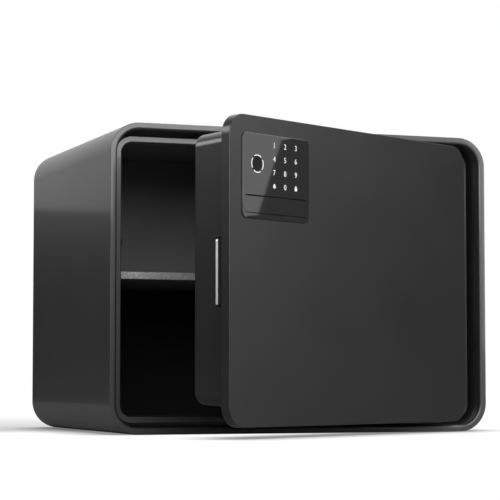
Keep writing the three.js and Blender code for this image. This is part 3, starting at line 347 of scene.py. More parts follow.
# Dust that settles on faces that look up, in soft patches.
def makeDustGroup(facing=(0.4, 1.0), patches=(0.35, 0.75)):
    inputs = {"Amount": "Float", "Patch Size": "Float"}
    group, given, leave = newTree("ShaderNodeTree", "settledDust", inputs, {"Mask": "Float"})
    normal = addNode(group, "ShaderNodeNewGeometry").outputs["Normal"]
    upward = rampNode(group, addNode(group, "ShaderNodeSeparateXYZ", Vector=normal).outputs["Z"], *facing)
    scale = mathNode(group, "DIVIDE", 1.0, given["Patch Size"])
    cover = rampNode(group, noiseNode(group, scale, detail=5.0, roughness=0.65), *patches)
    feed(leave, Mask=product(group, upward, cover, given["Amount"]))
    return group


grainGroup = makeGrainGroup()
edgeGroup = makeEdgeGroup()
dustGroup = makeDustGroup()
print("shader groups made")


def newMaterial(name):
    material = bpy.data.materials.new(name)
    material.use_nodes = True
    tree = material.node_tree
    return material, tree, tree.nodes["Principled BSDF"]


def grey(value):
    return (value, value, value, 1.0)


# Roughness that drifts with one pattern, and a bump from another.
def roughen(tree, shader, look, drift, relief):
    spread = product(tree, mathNode(tree, "SUBTRACT", drift, 0.5), look["unevenness"])
    bump = addNode(tree, "ShaderNodeBump", Strength=look["bump"], Distance=look["bumpDepth"], Height=relief)
    feed(shader, Roughness=mathNode(tree, "ADD", spread, look["roughness"]), Normal=bump.outputs["Normal"])


# Paint or plastic; a look that can be rubbed has thin edges and dust as well.
def coatedMaterial(name, look):
    material, tree, shader = newMaterial(name)
    grain = groupNode(tree, grainGroup, Grain_Size=look["grainSize"], Cloud_Size=look["cloudSize"])
    colour = mixColour(tree, grain["Cloud"], look["shade"], look["tint"])
    if "rub" in look:
        edges = groupNode(tree, edgeGroup, Reach=look["edgeReach"], Break_Up=look["breakUp"])
        dust = groupNode(tree, dustGroup, Amount=look["dust"], Patch_Size=look["dustPatch"])
        colour = mixColour(tree, product(tree, edges["Mask"], look["rub"]), colour, look["bare"])
        colour = mixColour(tree, dust["Mask"], colour, look["dustShade"])
    feed(shader, Base_Color=colour, Specular_IOR_Level=look["specular"])
    feed(shader, Coat_Weight=look["coat"], Coat_Roughness=look["coatRoughness"])
    roughen(tree, shader, look, grain["Cloud"], grain["Height"])
    return material


bodyPaintLook = {
    "shade": grey(0.018),
    "tint": grey(0.026),
    "bare": grey(0.06),
    "roughness": 0.36,
    "unevenness": 0.06,
    "grainSize": 0.0007,
    "cloudSize": 0.09,
    "bump": 0.10,
    "bumpDepth": 0.0002,
    "coat": 0.35,
    "coatRoughness": 0.08,
    "specular": 0.5,
    "edgeReach": 0.0008,
    "breakUp": 0.5,
    "rub": 0.25,
    "dust": 0.05,
    "dustPatch": 0.02,
    "dustShade": grey(0.25),
}
framePaintLook = {**bodyPaintLook, "shade": grey(0.022), "tint": grey(0.030)}
doorPaintLook = {
    **bodyPaintLook,
    "shade": grey(0.009),
    "tint": grey(0.013),
    "roughness": 0.32,
    "coat": 0.0,
    "bump": 0.16,
}
# Painted light: a lighter copy of the inner paint, for the walls above the shelf and the shelf rails.
innerPaintLook = {
    **doorPaintLook,
    "shade": grey(0.120),
    "tint": grey(0.145),
    "roughness": 0.6,
    "dust": 0.0,
    "rub": 0.0,
}
# Painted light: a light grey for the shelf board, so that its underside shows as lit from below.
shelfPaintLook = {**innerPaintLook, "shade": grey(0.42), "tint": grey(0.48), "specular": 0.2}
# Painted shade: a near-black copy of the inner paint, for the walls below the shelf.
belowShelfShadeLook = {
    **innerPaintLook,
    "shade": grey(0.020),
    "tint": grey(0.028),
    "roughness": 0.9,
    "specular": 0.05,
}
glossLook = {
    "shade": grey(0.016),
    "tint": grey(0.019),
    "roughness": 0.025,
    "unevenness": 0.01,
    "grainSize": 0.002,
    "cloudSize": 0.03,
    "bump": 0.0,
    "bumpDepth": 0.0001,
    "coat": 0.0,
    "coatRoughness": 0.03,
    "specular": 0.8,
}
mouldedLook = {
    **glossLook,
    "shade": grey(0.008),
    "tint": grey(0.012),
    "roughness": 0.55,
    "grainSize": 0.0006,
    "bump": 0.3,
    "specular": 0.5,
}
padLook = {**mouldedLook, "roughness": 0.8, "specular": 0.08, "bump": 0.5}
rubberLook = {**mouldedLook, "shade": grey(0.010), "tint": grey(0.014), "roughness": 0.7}
redLook = {
    **mouldedLook,
    "shade": (0.35, 0.012, 0.010, 1),
    "tint": (0.45, 0.02, 0.015, 1),
    "roughness": 0.35,
}
wrapLook = {
    **mouldedLook,
    "shade": (0.02, 0.05, 0.09, 1),
    "tint": (0.03, 0.07, 0.12, 1),
    "roughness": 0.25,
    "coat": 0.6,
}
boardLook = {
    **mouldedLook,
    "shade": (0.005, 0.06, 0.025, 1),
    "tint": (0.01, 0.09, 0.04, 1),
    "roughness": 0.35,
}


# Metal with brush lines that lie along the shut door.
def metalMaterial(name, look):
    material, tree, shader = newMaterial(name)
    turned = addNode(tree, "ShaderNodeMapping", Vector=placeIn(tree), Scale=look["brush"])
    feed(turned, Rotation=(0, 0, -openAngle))
    lines = noiseNode(tree, scale=1.0, detail=3.0, roughness=0.6, place=turned.outputs[0])
    grain = groupNode(tree, grainGroup, Grain_Size=look["grainSize"], Cloud_Size=look["cloudSize"])
    feed(shader, Base_Color=mixColour(tree, grain["Cloud"], look["shade"], look["tint"]), Metallic=1.0)
    roughen(tree, shader, look, lines, lines)
    return material


steelLook = {
    "shade": grey(0.72),
    "tint": grey(0.85),
    "roughness": 0.45,
    "unevenness": 0.15,
    "brush": (1500.0, 3000.0, 60.0),
    "grainSize": 0.001,
    "cloudSize": 0.02,
    "bump": 0.15,
    "bumpDepth": 0.00005,
}
zincLook = {
    **steelLook,
    "shade": grey(0.32),
    "tint": grey(0.42),
    "roughness": 0.42,
    "brush": (800.0, 800.0, 800.0),
}
brassLook = {**steelLook, "shade": (0.50, 0.34, 0.12, 1), "tint": (0.62, 0.44, 0.18, 1), "roughness": 0.28}


def feltMaterial(name, look):
    material, tree, shader = newMaterial(name)
    fibres = noiseNode(tree, look["speckle"], detail=6.0, roughness=0.8, distortion=2.0)
    strays = noiseNode(tree, scale=420.0, detail=4.0, roughness=0.7)
    blotch = noiseNode(tree, scale=70.0, detail=2.0, roughness=0.5)
    base = mixColour(tree, rampNode(tree, fibres, *look["fleckRamp"]), look["dark"], look["light"])
    faded = mixColour(tree, rampNode(tree, blotch, *look["blotchRamp"]), base, look["middle"])
    pile = mathNode(tree, "ADD", fibres, product(tree, strays, look["strayShare"]))
    bump = addNode(tree, "ShaderNodeBump", Strength=look["bump"], Distance=look["bumpDepth"], Height=pile)
    feed(shader, Base_Color=mixColour(tree, look["evenness"], faded, base), Normal=bump.outputs["Normal"])
    feed(shader, Roughness=look["roughness"], Sheen_Weight=look["sheen"], Sheen_Roughness=0.5)
    return material


greyFeltLook = {
    "dark": grey(0.07),
    "light": grey(0.72),
    "middle": grey(0.30),
    "evenness": 0.75,
    "speckle": 620.0,
    "fleckRamp": (0.40, 0.60),
    "blotchRamp": (0.3, 0.7),
    "strayShare": 0.5,
    "bump": 0.7,
    "bumpDepth": 0.0005,
    "roughness": 0.95,
    "sheen": 0.3,
}
# Painted shade: a near-black copy of the grey felt for the floor below the shelf, where the lower
# compartment lies in shade.
blackFeltLook = {
    **greyFeltLook,
    "dark": grey(0.004),
    "light": grey(0.02),
    "middle": grey(0.009),
    "sheen": 0.05,
}


def glowMaterial(name, look):
    material, tree, shader = newMaterial(name)
    patch = rampNode(tree, noiseNode(tree, scale=260.0, detail=2.0, roughness=0.5), 0.3, 0.7)
    light = mixColour(tree, patch, look["dim"], look["bright"])
    feed(shader, Emission_Color=light, Emission_Strength=look["strength"])
    feed(shader, Base_Color=look["base"], Roughness=0.3)
    return material


arcGlowLook = {"dim": (0.86, 0.90, 0.96, 1), "bright": grey(1.0), "base": grey(0.03), "strength": 1.15}
digitGlowLook = {**arcGlowLook, "strength": 0.95}

bodyPaint = coatedMaterial("bodyPaint", bodyPaintLook)
framePaint = coatedMaterial("framePaint", framePaintLook)
doorPaint = coatedMaterial("doorPaint", doorPaintLook)
innerPaintLit = coatedMaterial("innerPaintLit", innerPaintLook)
shelfPaintLit = coatedMaterial("shelfPaintLit", shelfPaintLook)
belowShelfPaintedShade = coatedMaterial("belowShelfPaintedShade", belowShelfShadeLook)
panelGloss = coatedMaterial("panelGloss", glossLook)
mouldedBlack = coatedMaterial("mouldedBlack", mouldedLook)
padBlack = coatedMaterial("padBlack", padLook)
plugRubber = coatedMaterial("plugRubber", rubberLook)
buttonRed = coatedMaterial("buttonRed", redLook)
cellWrap = coatedMaterial("cellWrap", wrapLook)
boardGreen = coatedMaterial("boardGreen", boardLook)
boltSteel = metalMaterial("boltSteel", steelLook)
zincPlate = metalMaterial("zincPlate", zincLook)
brassMetal = metalMaterial("brassMetal", brassLook)
greyFelt = feltMaterial("greyFelt", greyFeltLook)
shadedFloorFelt = feltMaterial("shadedFloorFelt", blackFeltLook)
arcGlow = glowMaterial("arcGlow", arcGlowLook)
digitGlow = glowMaterial("digitGlow", digitGlowLook)
print("materials made")

# Camera
view = {
    "location": (-0.716, -1.91056, 0.05571),
    "yaw": 20.5057,
    "pitch": 3.7662,
    "lens": 138.348,
    "sensor": 36,
}


def placeCamera(look):
    cameraData = bpy.data.cameras.new("camera")
    cameraData.lens = look["lens"]
    cameraData.sensor_width = look["sensor"]
    camera = bpy.data.objects.new("camera", cameraData)
    camera.location = look["location"]
    camera.rotation_euler = (math.radians(90 + look["pitch"]), 0, math.radians(-look["yaw"]))
    bpy.context.scene.collection.objects.link(camera)
    bpy.context.scene.camera = camera


placeCamera(view)


# Lights: rectangles that look from a place towards a point, rolled about that line.
def lightOf(place, aim, size, power, roll=0):
    return {"place": place, "aim": aim, "size": size, "power": power, "roll": roll}


softLights = {
    "frontCard": lightOf((-0.2, -1.6, 0.785), (-0.2, 0, 0.785), (1.8, 0.9), 32.7),
    "frontRightCard": lightOf((1.085, -1.5, 0.65), (1.085, 0, 0.65), (0.43, 1.1), 8.57),
    "rightCard": lightOf((1.4, -1.048, 0.543), (0, -1.048, 0.543), (0.9, 1.3), 4.0, roll=-18),
    "rightHigh": lightOf((1.4, -0.75, 1.15), (0.1, -0.2, 0.2), (1.5, 0.6), 18.49),
    "leftHigh": lightOf((-1.5, 0.2, 0.95), (-0.1, -0.1, 0.2), (1.2, 0.5), 14.67),
    "backTop": lightOf((-0.3, 1.6, 1.6), (0, 0, 0.3), (2.0, 1.0), 10.65),
    "backCard": lightOf((0, 2.5, 0.9), (0, 0, 0.9), (2.4, 0.9), 4.56),
    "lowFront": lightOf((-0.3, -2.0, 0.2), (0, 0, 0.15), (1.0, 0.4), 1.67),
}


def addLight(name, look):
    lamp = bpy.data.lights.new(name, "AREA")
    lamp.shape = "RECTANGLE"
    lamp.size, lamp.size_y = look["size"]
    lamp.energy = look["power"]
    holder = bpy.data.objects.new(name, lamp)
    aim = Vector(look["aim"]) - Vector(look["place"])
    turn = aim.to_track_quat("-Z", "Y").to_matrix().to_4x4()
    roll = Matrix.Rotation(math.radians(look["roll"]), 4, "Z")
    holder.matrix_world = Matrix.Translation(look["place"]) @ turn @ roll
    holder.visible_camera = False
    bpy.context.scene.collection.objects.link(holder)


for lightName, lightLook in softLights.items():
    addLight(lightName, lightLook)

surroundings = {"low": grey(0.03), "high": grey(0.0), "strength": 1.0}


# White for the camera and nearly dark for everything else.
def makeWorld(look):
    world = bpy.data.worlds.new("studio")
    bpy.context.scene.world = world
    world.use_nodes = True
    tree = world.node_tree
    tree.nodes.clear()
    direction = addNode(tree, "ShaderNodeTexCoord").outputs["Generated"]
    height = addNode(tree, "ShaderNodeSeparateXYZ", Vector=direction).outputs["Z"]
    sky = mixColour(tree, rampNode(tree, height, -0.2, 1.0), look["low"], look["high"])
    dim = addNode(tree, "ShaderNodeBackground", Color=sky, Strength=look["strength"]).outputs[0]
    white = addNode(tree, "ShaderNodeBackground", Color=grey(1.0), Strength=1.0).outputs[0]
    seen = addNode(tree, "ShaderNodeLightPath").outputs["Is Camera Ray"]
    both = addNode(tree, "ShaderNodeMixShader", i0=seen, i1=dim, i2=white)
    addNode(tree, "ShaderNodeOutputWorld", Surface=both.outputs[0])


makeWorld(surroundings)

studioFloor = {
    "size": 12.0,
    "white": 1.03,
    "contactReach": 0.06,
    "contactFrom": 0.35,
    "contactTo": 0.95,
    # painted contact shade: how dark the floor is painted right beside the safe
    "paintedContactDarkest": 0.28,
    # painted shadow to the left of and behind the safe: its depth, and the bounds where it fades
    "paintedShadowDepth": 0.38,
    "paintedShadowFront": (-0.06, 0.05),
    "paintedShadowBack": (0.78, 0.06),
    "paintedShadowSide": (0.1, -0.05),
    "paintedShadowEnd": (-0.9, -0.3),
    "bounceShade": grey(0.25),
}


# The camera sees white with painted shadows: a painted contact shade near the safe and a painted shadow to
# its left and behind it. The safe sees a matt grey that bounces light.
def makeFloor(look):
    bm = bmesh.new()
    bmesh.ops.create_grid(bm, x_segments=1, y_segments=1, size=look["size"] / 2)
    material, tree, shader = newMaterial("floorWhitePaintedShadows")
    tree.nodes.remove(shader)
    bounce = addNode(tree, "ShaderNodeBsdfDiffuse", Color=look["bounceShade"]).outputs[0]
    # Painted contact shade: the white darkens where the safe is near, by ambient occlusion.
    near = addNode(tree, "ShaderNodeAmbientOcclusion", {"samples": 16}, Distance=look["contactReach"])
    openness = rampNode(tree, near.outputs["AO"], look["contactFrom"], look["contactTo"])
    spread = product(tree, openness, 1 - look["paintedContactDarkest"])
    contact = mathNode(tree, "ADD", spread, look["paintedContactDarkest"])
    # A painted soft shadow to the left of and behind the safe, drawn by place on the floor.
    place = addNode(tree, "ShaderNodeSeparateXYZ", Vector=placeIn(tree)).outputs
    bounds = (("Y", "paintedShadowFront"), ("Y", "paintedShadowBack"), ("X", "paintedShadowSide"), ("X", "paintedShadowEnd"))
    ramps = [rampNode(tree, place[axis], *look[bound]) for axis, bound in bounds]
    shade = mathNode(tree, "SUBTRACT", 1.0, product(tree, *ramps, look["paintedShadowDepth"]))
    fall = product(tree, contact, shade, look["white"])
    bright = addNode(tree, "ShaderNodeEmission", Color=grey(1.0), Strength=fall).outputs[0]
    seen = addNode(tree, "ShaderNodeLightPath").outputs["Is Camera Ray"]
    both = addNode(tree, "ShaderNodeMixShader", i0=seen, i1=bounce, i2=bright)
    feed(tree.nodes["Material Output"], Surface=both.outputs[0])
    pieceOf("studioFloor", bm, [material])


makeFloor(studioFloor)
bpy.context.scene.view_settings.view_transform = "Standard"
bpy.context.scene.view_settings.look = "None"
print("camera, lights and floor placed")

# Body of the safe
safeBody = {
    "cornerRadius": 0.029,
    "rimEase": 0.0005,  # outer edge of the front rim, and both rear edges
    "mouthEase": 0.0025,  # inner edge of the front rim
    "cornerSteps": 28,
    "backEases": (0.0005, 0.0008),  # front and rear edge of the rear wall
    "anchorRadius": 0.006,
    "anchorReach": 0.01,  # how far the cut of an anchor hole runs to each side
}
# body paint, the painted shade below the shelf, and the painted light above it
wallFinishes = [bodyPaint, belowShelfPaintedShade, innerPaintLit]
sides = ("left", "right")


# A wall's faces towards the room take a lighter copy of the inner paint above the shelf and a near-black
# copy below it: painted light and painted shade, split at the shelf.
def paintLitAndShadedWall(bm, room, fromY, reach=0.0001):
    shelfZ = boxOf("shelf_board")[0].z
    everything = bm.verts[:] + bm.edges[:] + bm.faces[:]
    bmesh.ops.bisect_plane(bm, geom=everything, plane_co=(0, 0, shelfZ), plane_no=(0, 0, 1))
    for face in bm.faces:
        middle = face.calc_center_median()
        inside = middle.y > fromY - reach and room[0] - reach < middle.x < room[1] + reach
        if inside and face.normal.dot(Vector((0, 0, shelfZ)) - middle) > 0:
            face.material_index = wallFinishes.index(belowShelfPaintedShade if middle.z < shelfZ else innerPaintLit)
    return bm


def makeShell(look):
    low, high = boxOf("outer_shell")
    collarLow, collarHigh = boxOf("door_frame")
    outer = outlineOf(low, high, look["cornerRadius"])
    band = inset(outer, collarLow.x - seatGap - low.x)
    room = inset(outer, boxOf("back_panel")[0].x - seatGap - low.x)
    steps, ease, reach = look["cornerSteps"], look["rimEase"], look["anchorReach"]
    rings = slabRings(outer, low.y, high.y, ease, ease, steps)
    rings += edgeRings(room, high.y, -1, ease, steps, flared=True)
    rings += [ringAt(room, collarHigh.y, steps), ringAt(band, collarHigh.y, steps)]
    rings += edgeRings(band, low.y, 1, look["mouthEase"], steps, flared=True)[::-1]
    shell = pieceOf("shell_body", paintLitAndShadedWall(loft(rings, loop=True), room, collarHigh.y), wallFinishes)
    for side in sides:
        at = centreOf(f"anchor_plug_floor_{side}")
        cutAway(shell, rodMesh("z", look["anchorRadius"], low.z - reach, low.z + reach, (at.x, at.y)))
    settle(shell, "safe_body", None, ["outer_shell"])


def makeBack(look):
    low, high = boxOf("back_panel")
    wall = low.x - boxOf("outer_shell")[0].x
    outline = outlineOf(low, high, look["cornerRadius"] - wall)
    rings = slabRings(outline, low.y, high.y, *look["backEases"])
    panel = pieceOf("back_wall", paintLitAndShadedWall(loft(rings), outline, low.y), wallFinishes)
    reach = look["anchorReach"]
    for side in sides:
        at = centreOf(f"anchor_plug_rear_{side}")
        cutAway(panel, rodMesh("y", look["anchorRadius"], low.y - reach, high.y + reach, (at.x, at.z)))
    settle(panel, "safe_body", None, ["back_panel"])


makeShell(safeBody)
makeBack(safeBody)
print("body made")

# Frame of the opening
collar = {
    "wall": 0.0065,
    "channel": 0.0035,  # between the collar and the body's front band
    "cornerRadius": 0.011,
    "flange": 0.003,
    "jambWidth": 0.025,
    "jambThickness": 0.003,
    "outerEase": 0.0009,
    "openingEase": 0.0012,
    "hiddenEase": 0.0002,
    "cutEase": 0.0003,  # of the edges that the cuts leave
    "strikeMargin": 0.0015,
}


def makeCollar(look):
    low, high = boxOf("door_frame")
    flange = outlineOf(low, high, safeBody["cornerRadius"] - (low.x - boxOf("outer_shell")[0].x))
    outer = inset(flange, look["channel"] - seatGap)[:4] + (look["cornerRadius"] + look["wall"],)
    inner = inset(outer, look["wall"])
    jambX = inner[1] - look["jambWidth"]
    opening = (inner[0], jambX, *inner[2:4], look["cornerRadius"])
    pocket = (jambX - look["jambWidth"], *inner[1:4], look["cornerRadius"])
    ease, hidden = look["openingEase"], look["hiddenEase"]
    piece = pieceOf("opening_frame", loft(slabRings(outer, low.y, high.y, look["outerEase"], hidden)))
    addOn(piece, loft(slabRings(flange, high.y - look["flange"], high.y, hidden, hidden)))
    mouth = [ringAt(inset(opening, -ease), low.y - through, cornerSteps)]
    mouth += edgeRings(opening, low.y, 1, ease, cornerSteps, flared=True)
    cutAway(piece, loft(mouth + [ringAt(opening, high.y + through, cornerSteps)]))
    depths = (low.y + look["jambThickness"], high.y + through)
    cutAway(piece, loft([ringAt(pocket, y, cornerSteps) for y in depths]))
    boltLow, boltHigh = boxOf("bolt_plate", shut=True)
    margin = look["strikeMargin"]
    strikeLow = (outer[0] - through, boltLow.y - margin, boltLow.z - margin)
    strikeHigh = (inner[0] + through, boltHigh.y + margin, boltHigh.z + margin)
    cutAway(piece, blockMesh(strikeLow, strikeHigh))
    settle(piece, "safe_body", framePaint, ["door_frame"], ease=look["cutEase"])


makeCollar(collar)
print("frame of the opening made")

# Felt on the shelf and on the floor, cut from sheet and laid
feltSheets = {
    "thickness": 0.0015,
    "edgeEase": 0.0005,
    "foldRadius": 0.002,
    "foldSteps": 6,
    "lumps": 0.00012,  # how unevenly the pile stands
    "lumpNoises": ((90, 1.0), (260, 0.5)),  # scale and share
    "cell": 0.004,  # of the mesh that carries the unevenness
}


# A sheet along a folded path in the side view, from the rear forward; each fold is rounded.
def feltMesh(fromX, toX, path, look):
    columns = max(2, round((toX - fromX) / look["cell"]))
    rows = []
    for (startY, startZ), (endY, endZ) in zip(path, path[1:]):
        steps = max(1, round(math.hypot(endY - startY, endZ - startZ) / look["cell"]))
        shares = [step / steps for step in range(steps)]
        rows += [(startY + (endY - startY) * share, startZ + (endZ - startZ) * share) for share in shares]
    rows.append(path[-1])
    bm = bmesh.new()
    grid = []
    for number, (y, z) in enumerate(rows):
        before, after = rows[max(number - 1, 0)], rows[min(number + 1, len(rows) - 1)]
        along = Vector((0, after[0] - before[0], after[1] - before[1])).normalized()
        outward = Vector((0, along.z, -along.y))
        line = []
        for column in range(columns + 1):
            point = Vector((fromX + (toX - fromX) * column / columns, y, z))
            lift = sum(share * noise.noise(point * scale) for scale, share in look["lumpNoises"])
            line.append(bm.verts.new(point + outward * look["lumps"] * lift))
        grid.append(line)
    for first, second in zip(grid, grid[1:]):
        for i in range(columns):
            bm.faces.new((first[i], first[i + 1], second[i + 1], second[i]))
    bmesh.ops.recalc_face_normals(bm, faces=bm.faces)
    return bm


def layFelt(name, node, body, material, path, look):
    low, high = boxOf(node)
    piece = pieceOf(name, feltMesh(low.x + look["edgeEase"], high.x - look["edgeEase"], path, look))
    thick = piece.modifiers.new("thickness", "SOLIDIFY")
    thick.thickness = look["thickness"]
    thick.offset = 0
    thick.use_even_offset = True
    applyModifiers(piece)
    settle(piece, body, material, [node], ease=look["edgeEase"], sharpAngle=60)


def makeShelfFelt(look):
    low, high = boxOf("shelf_liner")
    half, fold = look["thickness"] / 2, look["foldRadius"]
    frontY, topZ = low.y + half, high.z - half
    bend = curveOf(frontY + fold, topZ - fold, fold, fold, 90, 180, look["foldSteps"])
    path = [(high.y, topZ), *bend, (frontY, low.z)]
    layFelt("shelf_felt", "shelf_liner", "shelf", greyFelt, path, look)


def makeFloorFelt(look):
    low, high = boxOf("floor_mat")
    middle = (low.z + high.z) / 2
    path = [(high.y, middle), (low.y, middle)]
    thickLook = {**look, "thickness": high.z - low.z - 2 * look["lumps"]}
    # the floor felt takes the near-black painted shade copy of the felt
    layFelt("floor_felt", "floor_mat", "safe_body", shadedFloorFelt, path, thickLook)


makeShelfFelt(feltSheets)
makeFloorFelt(feltSheets)
print("felt laid")

# Door plate and box
doorLook = {
    "plateRadius": 0.0195,
    "plateEase": 0.0005,
    "thickness": 0.0099,
    "pocketDepth": 0.0056,
    "pocketSteps": 16,
    "studRadius": 0.0026,
    "studRoot": 0.0005,  # of a stud in the plate
    "studInset": 0.006,  # of the studs from the circuit board's corners
    "bossInset": 0.022,  # of the housing's boss from the panel's sides
    "bossFromTop": (0.012, 0.038),
    "boxRadius": 0.013,
    "boxDraft": 0.0025,
    "boxWall": 0.002,
    "boxRearEases": (0.0025, 0.0005),  # outside and inside
    "boxRearSteps": 8,
    "slotHeightMargin": 0.0012,
    "slotFrontMargin": 0.0039,
    "slotRearMargin": 0.0005,
    "slotReach": 0.01,  # how far the slot's cut runs to each side
    "bayInset": 0.002,  # of the battery bay's opening from the tray's outside
    "buttonHole": 0.0039,
    "cornerSteps": 24,
}
panelLook = {
    "radius": 0.0055,
    "edgeEase": 0.0003,
    "pillow": 0.0030,
    "pillowDrop": 0.0001,
    "pillowSteps": 6,
    "thickness": 0.0018,
    "cornerSteps": 12,
    "ringGap": 0.0002,
    "coverRadius": 0.0016,
    "coverEase": 0.00015,
    "rollSteps": 16,
    "rollFullness": 0.999,  # 1 would be a whole half circle
    "seam": 0.0006,
}


# Centre in the front view and radius of a round piece on the door
def roundOf(node):
    low, high = boxOf(node, shut=True)
    centre = (low + high) / 2
    return (centre.x, centre.z), (high.x - low.x) / 2


def makePlate(look):
    low, high = boxOf("door_plate", shut=True)
    rearY, pocketY = low.y + look["thickness"], low.y + look["pocketDepth"]
    outline = outlineOf(low, high, look["plateRadius"])
    ease = look["plateEase"]
    plate = pieceOf("plate", loft(slabRings(outline, low.y, rearY, ease, ease, look["cornerSteps"])))
    panelLow, panelHigh = boxOf("keypad_fascia", shut=True)
    pocket = inset(outlineOf(panelLow, panelHigh, panelLook["radius"]), -seatGap)
    cutAway(plate, loft([ringAt(pocket, y, look["pocketSteps"]) for y in (low.y - through, pocketY)]))
    lock, lockRadius = roundOf("lock_cylinder")
    cutAway(plate, rodMesh("y", lockRadius + seatGap, pocketY - through, rearY + through, lock))
    socketLow, socketHigh = boxOf("power_socket", shut=True)
    bossTop, bossLow = look["bossFromTop"]
    side = look["bossInset"]
    windows = [
        (socketLow.x, socketHigh.x, socketLow.z, socketHigh.z),
        (panelLow.x + side, panelHigh.x - side, panelHigh.z - bossLow, panelHigh.z - bossTop),
    ]
    for left, right, lowZ, topZ in windows:
        near = (left - seatGap, pocketY - through, lowZ - seatGap)
        cutAway(plate, blockMesh(near, (right + seatGap, rearY + through, topZ + seatGap)))
    boardLow, boardHigh = boxOf("control_board", shut=True)
    corner, rootY = look["studInset"], rearY - look["studRoot"]
    for x in (boardLow.x + corner, boardHigh.x - corner):
        for z in (boardLow.z + corner, boardHigh.z - corner):
            addOn(plate, rodMesh("y", look["studRadius"], rootY, high.y, (x, z), steps=24))
    settle(plate, "door", doorPaint, ["door_plate"])


def makeBox(look):
    low, high = boxOf("door_box", shut=True)
    draft, wall, radius = look["boxDraft"], look["boxWall"], look["boxRadius"]
    left, right, lowZ, topZ, _ = inset(outlineOf(low, high, radius), draft)
    depth, steps = high.y - low.y, look["cornerSteps"]

    # The box narrows towards the rear: its section at a share of its depth, brought in by a distance.
    def leaning(share, by):
        grown = draft * (1 - share) - by
        return (left - grown, right + grown, lowZ - grown, topZ + grown, radius - by)

    def wallRings(by, rearY, ease):
        rings = [ringAt(leaning(0, by), low.y, steps)]
        for more, y in curveOf(ease, rearY - ease, ease, ease, 180, 90, look["boxRearSteps"]):
            rings.append(ringAt(inset(leaning((y - low.y) / depth, by), more), y, steps))
        return rings

    outerEase, innerEase = look["boxRearEases"]
    outer = wallRings(0, high.y, outerEase)
    inner = wallRings(wall, high.y - wall, innerEase)
    box = pieceOf("boltwork_box", loft(inner[::-1] + outer))
    boltLow, boltHigh = boxOf("bolt_plate", shut=True)
    height, reach = look["slotHeightMargin"], look["slotReach"]
    slotLow = (low.x - reach, boltLow.y - look["slotFrontMargin"], boltLow.z - height)
    slotHigh = (low.x + reach, boltHigh.y + look["slotRearMargin"], boltHigh.z + height)
    cutAway(box, blockMesh(slotLow, slotHigh))
    trayLow, trayHigh = boxOf("battery_tray", shut=True)
    bay = look["bayInset"]
    fromY, toY = high.y - 2 * wall, high.y + wall
    bayLow = (trayLow.x + bay, fromY, trayLow.z + bay)
    cutAway(box, blockMesh(bayLow, (trayHigh.x - bay, toY, trayHigh.z - bay)))
    cutAway(box, rodMesh("y", look["buttonHole"], fromY, toY, roundOf("reset_button")[0], steps=32))
    settle(box, "door", doorPaint, ["door_box"])


makePlate(doorLook)
makeBox(doorLook)
print("door made")

# Bolt
boltLook = {"cornerRadius": 0.002, "ease": 0.0004}


def makeBolt(look):
    low, high = boxOf("bolt_plate", shut=True)
    outline = outlineOf(low, high, look["cornerRadius"])
    rings = slabRings(outline, low.y, high.y, look["ease"], look["ease"], smallSteps)
    bolt = pieceOf("bolt_blade", loft(rings))
    settle(bolt, "bolt", boltSteel, ["bolt_plate"])


makeBolt(boltLook)
print("bolt made")


# Key panel: an outline square at its top corners and rounded at its lower ones
def flapRing(outline, y, by, topBy, steps=8):
    left, right, low, _, radius = inset(outline, by)
    top = outline[3] - topBy
    points = [(right, top), (left, top)]
    points += curveOf(left + radius, low + radius, radius, radius, 180, 270, steps)
    points += curveOf(right - radius, low + radius, radius, radius, 270, 360, steps)
    return atDepth(points, y)


def makeFascia(look):
    low, high = boxOf("keypad_fascia", shut=True)
    outline = outlineOf(low, high, look["radius"])
    frontY, rearY = low.y, low.y + look["thickness"]
    ease, steps = look["edgeEase"], look["cornerSteps"]
    rings = []
    for step in range(look["pillowSteps"] + 1):
        share = step / look["pillowSteps"]
        reach = look["pillow"] - (look["pillow"] - ease) * share
        rings.append(ringAt(inset(outline, reach), frontY + look["pillowDrop"] * share * share, steps))
    rings += edgeRings(outline, frontY + look["pillowDrop"], 1, ease, steps)[1:]
    fascia = pieceOf("panel_face", loft(rings + [ringAt(outline, rearY, steps)]))
    depths = (frontY - through, rearY + through)
    centre, radius = roundOf("sensor_light_ring")
    cutAway(fascia, rodMesh("y", radius + look["ringGap"], *depths, centre, steps=96))
    cover = outlineOf(*boxOf("key_cover", shut=True), look["coverRadius"])
    cutAway(fascia, loft([flapRing(cover, y, -look["seam"], -look["seam"]) for y in depths]))
    settle(fascia, "door", panelGloss, ["keypad_fascia"])


# The flap turns on its upper edge, which is fully rounded and matt.
def makeCover(look):
    low, high = boxOf("key_cover", shut=True)
    half, ease, steps = (high.y - low.y) / 2, look["coverEase"], look["rollSteps"]
    outline = outlineOf(low, high, look["coverRadius"])
    rings = []
    for step in range(steps + 1):
        across = -half * math.cos(math.pi * step / steps)
        topBy = half - math.sqrt(max(half * half - across * across, 0)) * look["rollFullness"]
        fromFace = half - abs(across)
        by = ease - math.sqrt(max(ease * ease - max(ease - fromFace, 0) ** 2, 0))
        rings.append(flapRing(outline, low.y + half + across, by, topBy))
    bm = loft(rings)
    finishes = [panelGloss, padBlack]
    for face in bm.faces:
        if face.calc_center_median().z > high.z - half:
            face.material_index = finishes.index(padBlack)
    settle(pieceOf("key_flap_face", bm, finishes), "key_flap", None, ["key_cover"])


makeFascia(panelLook)
makeCover(panelLook)
print("key panel made")

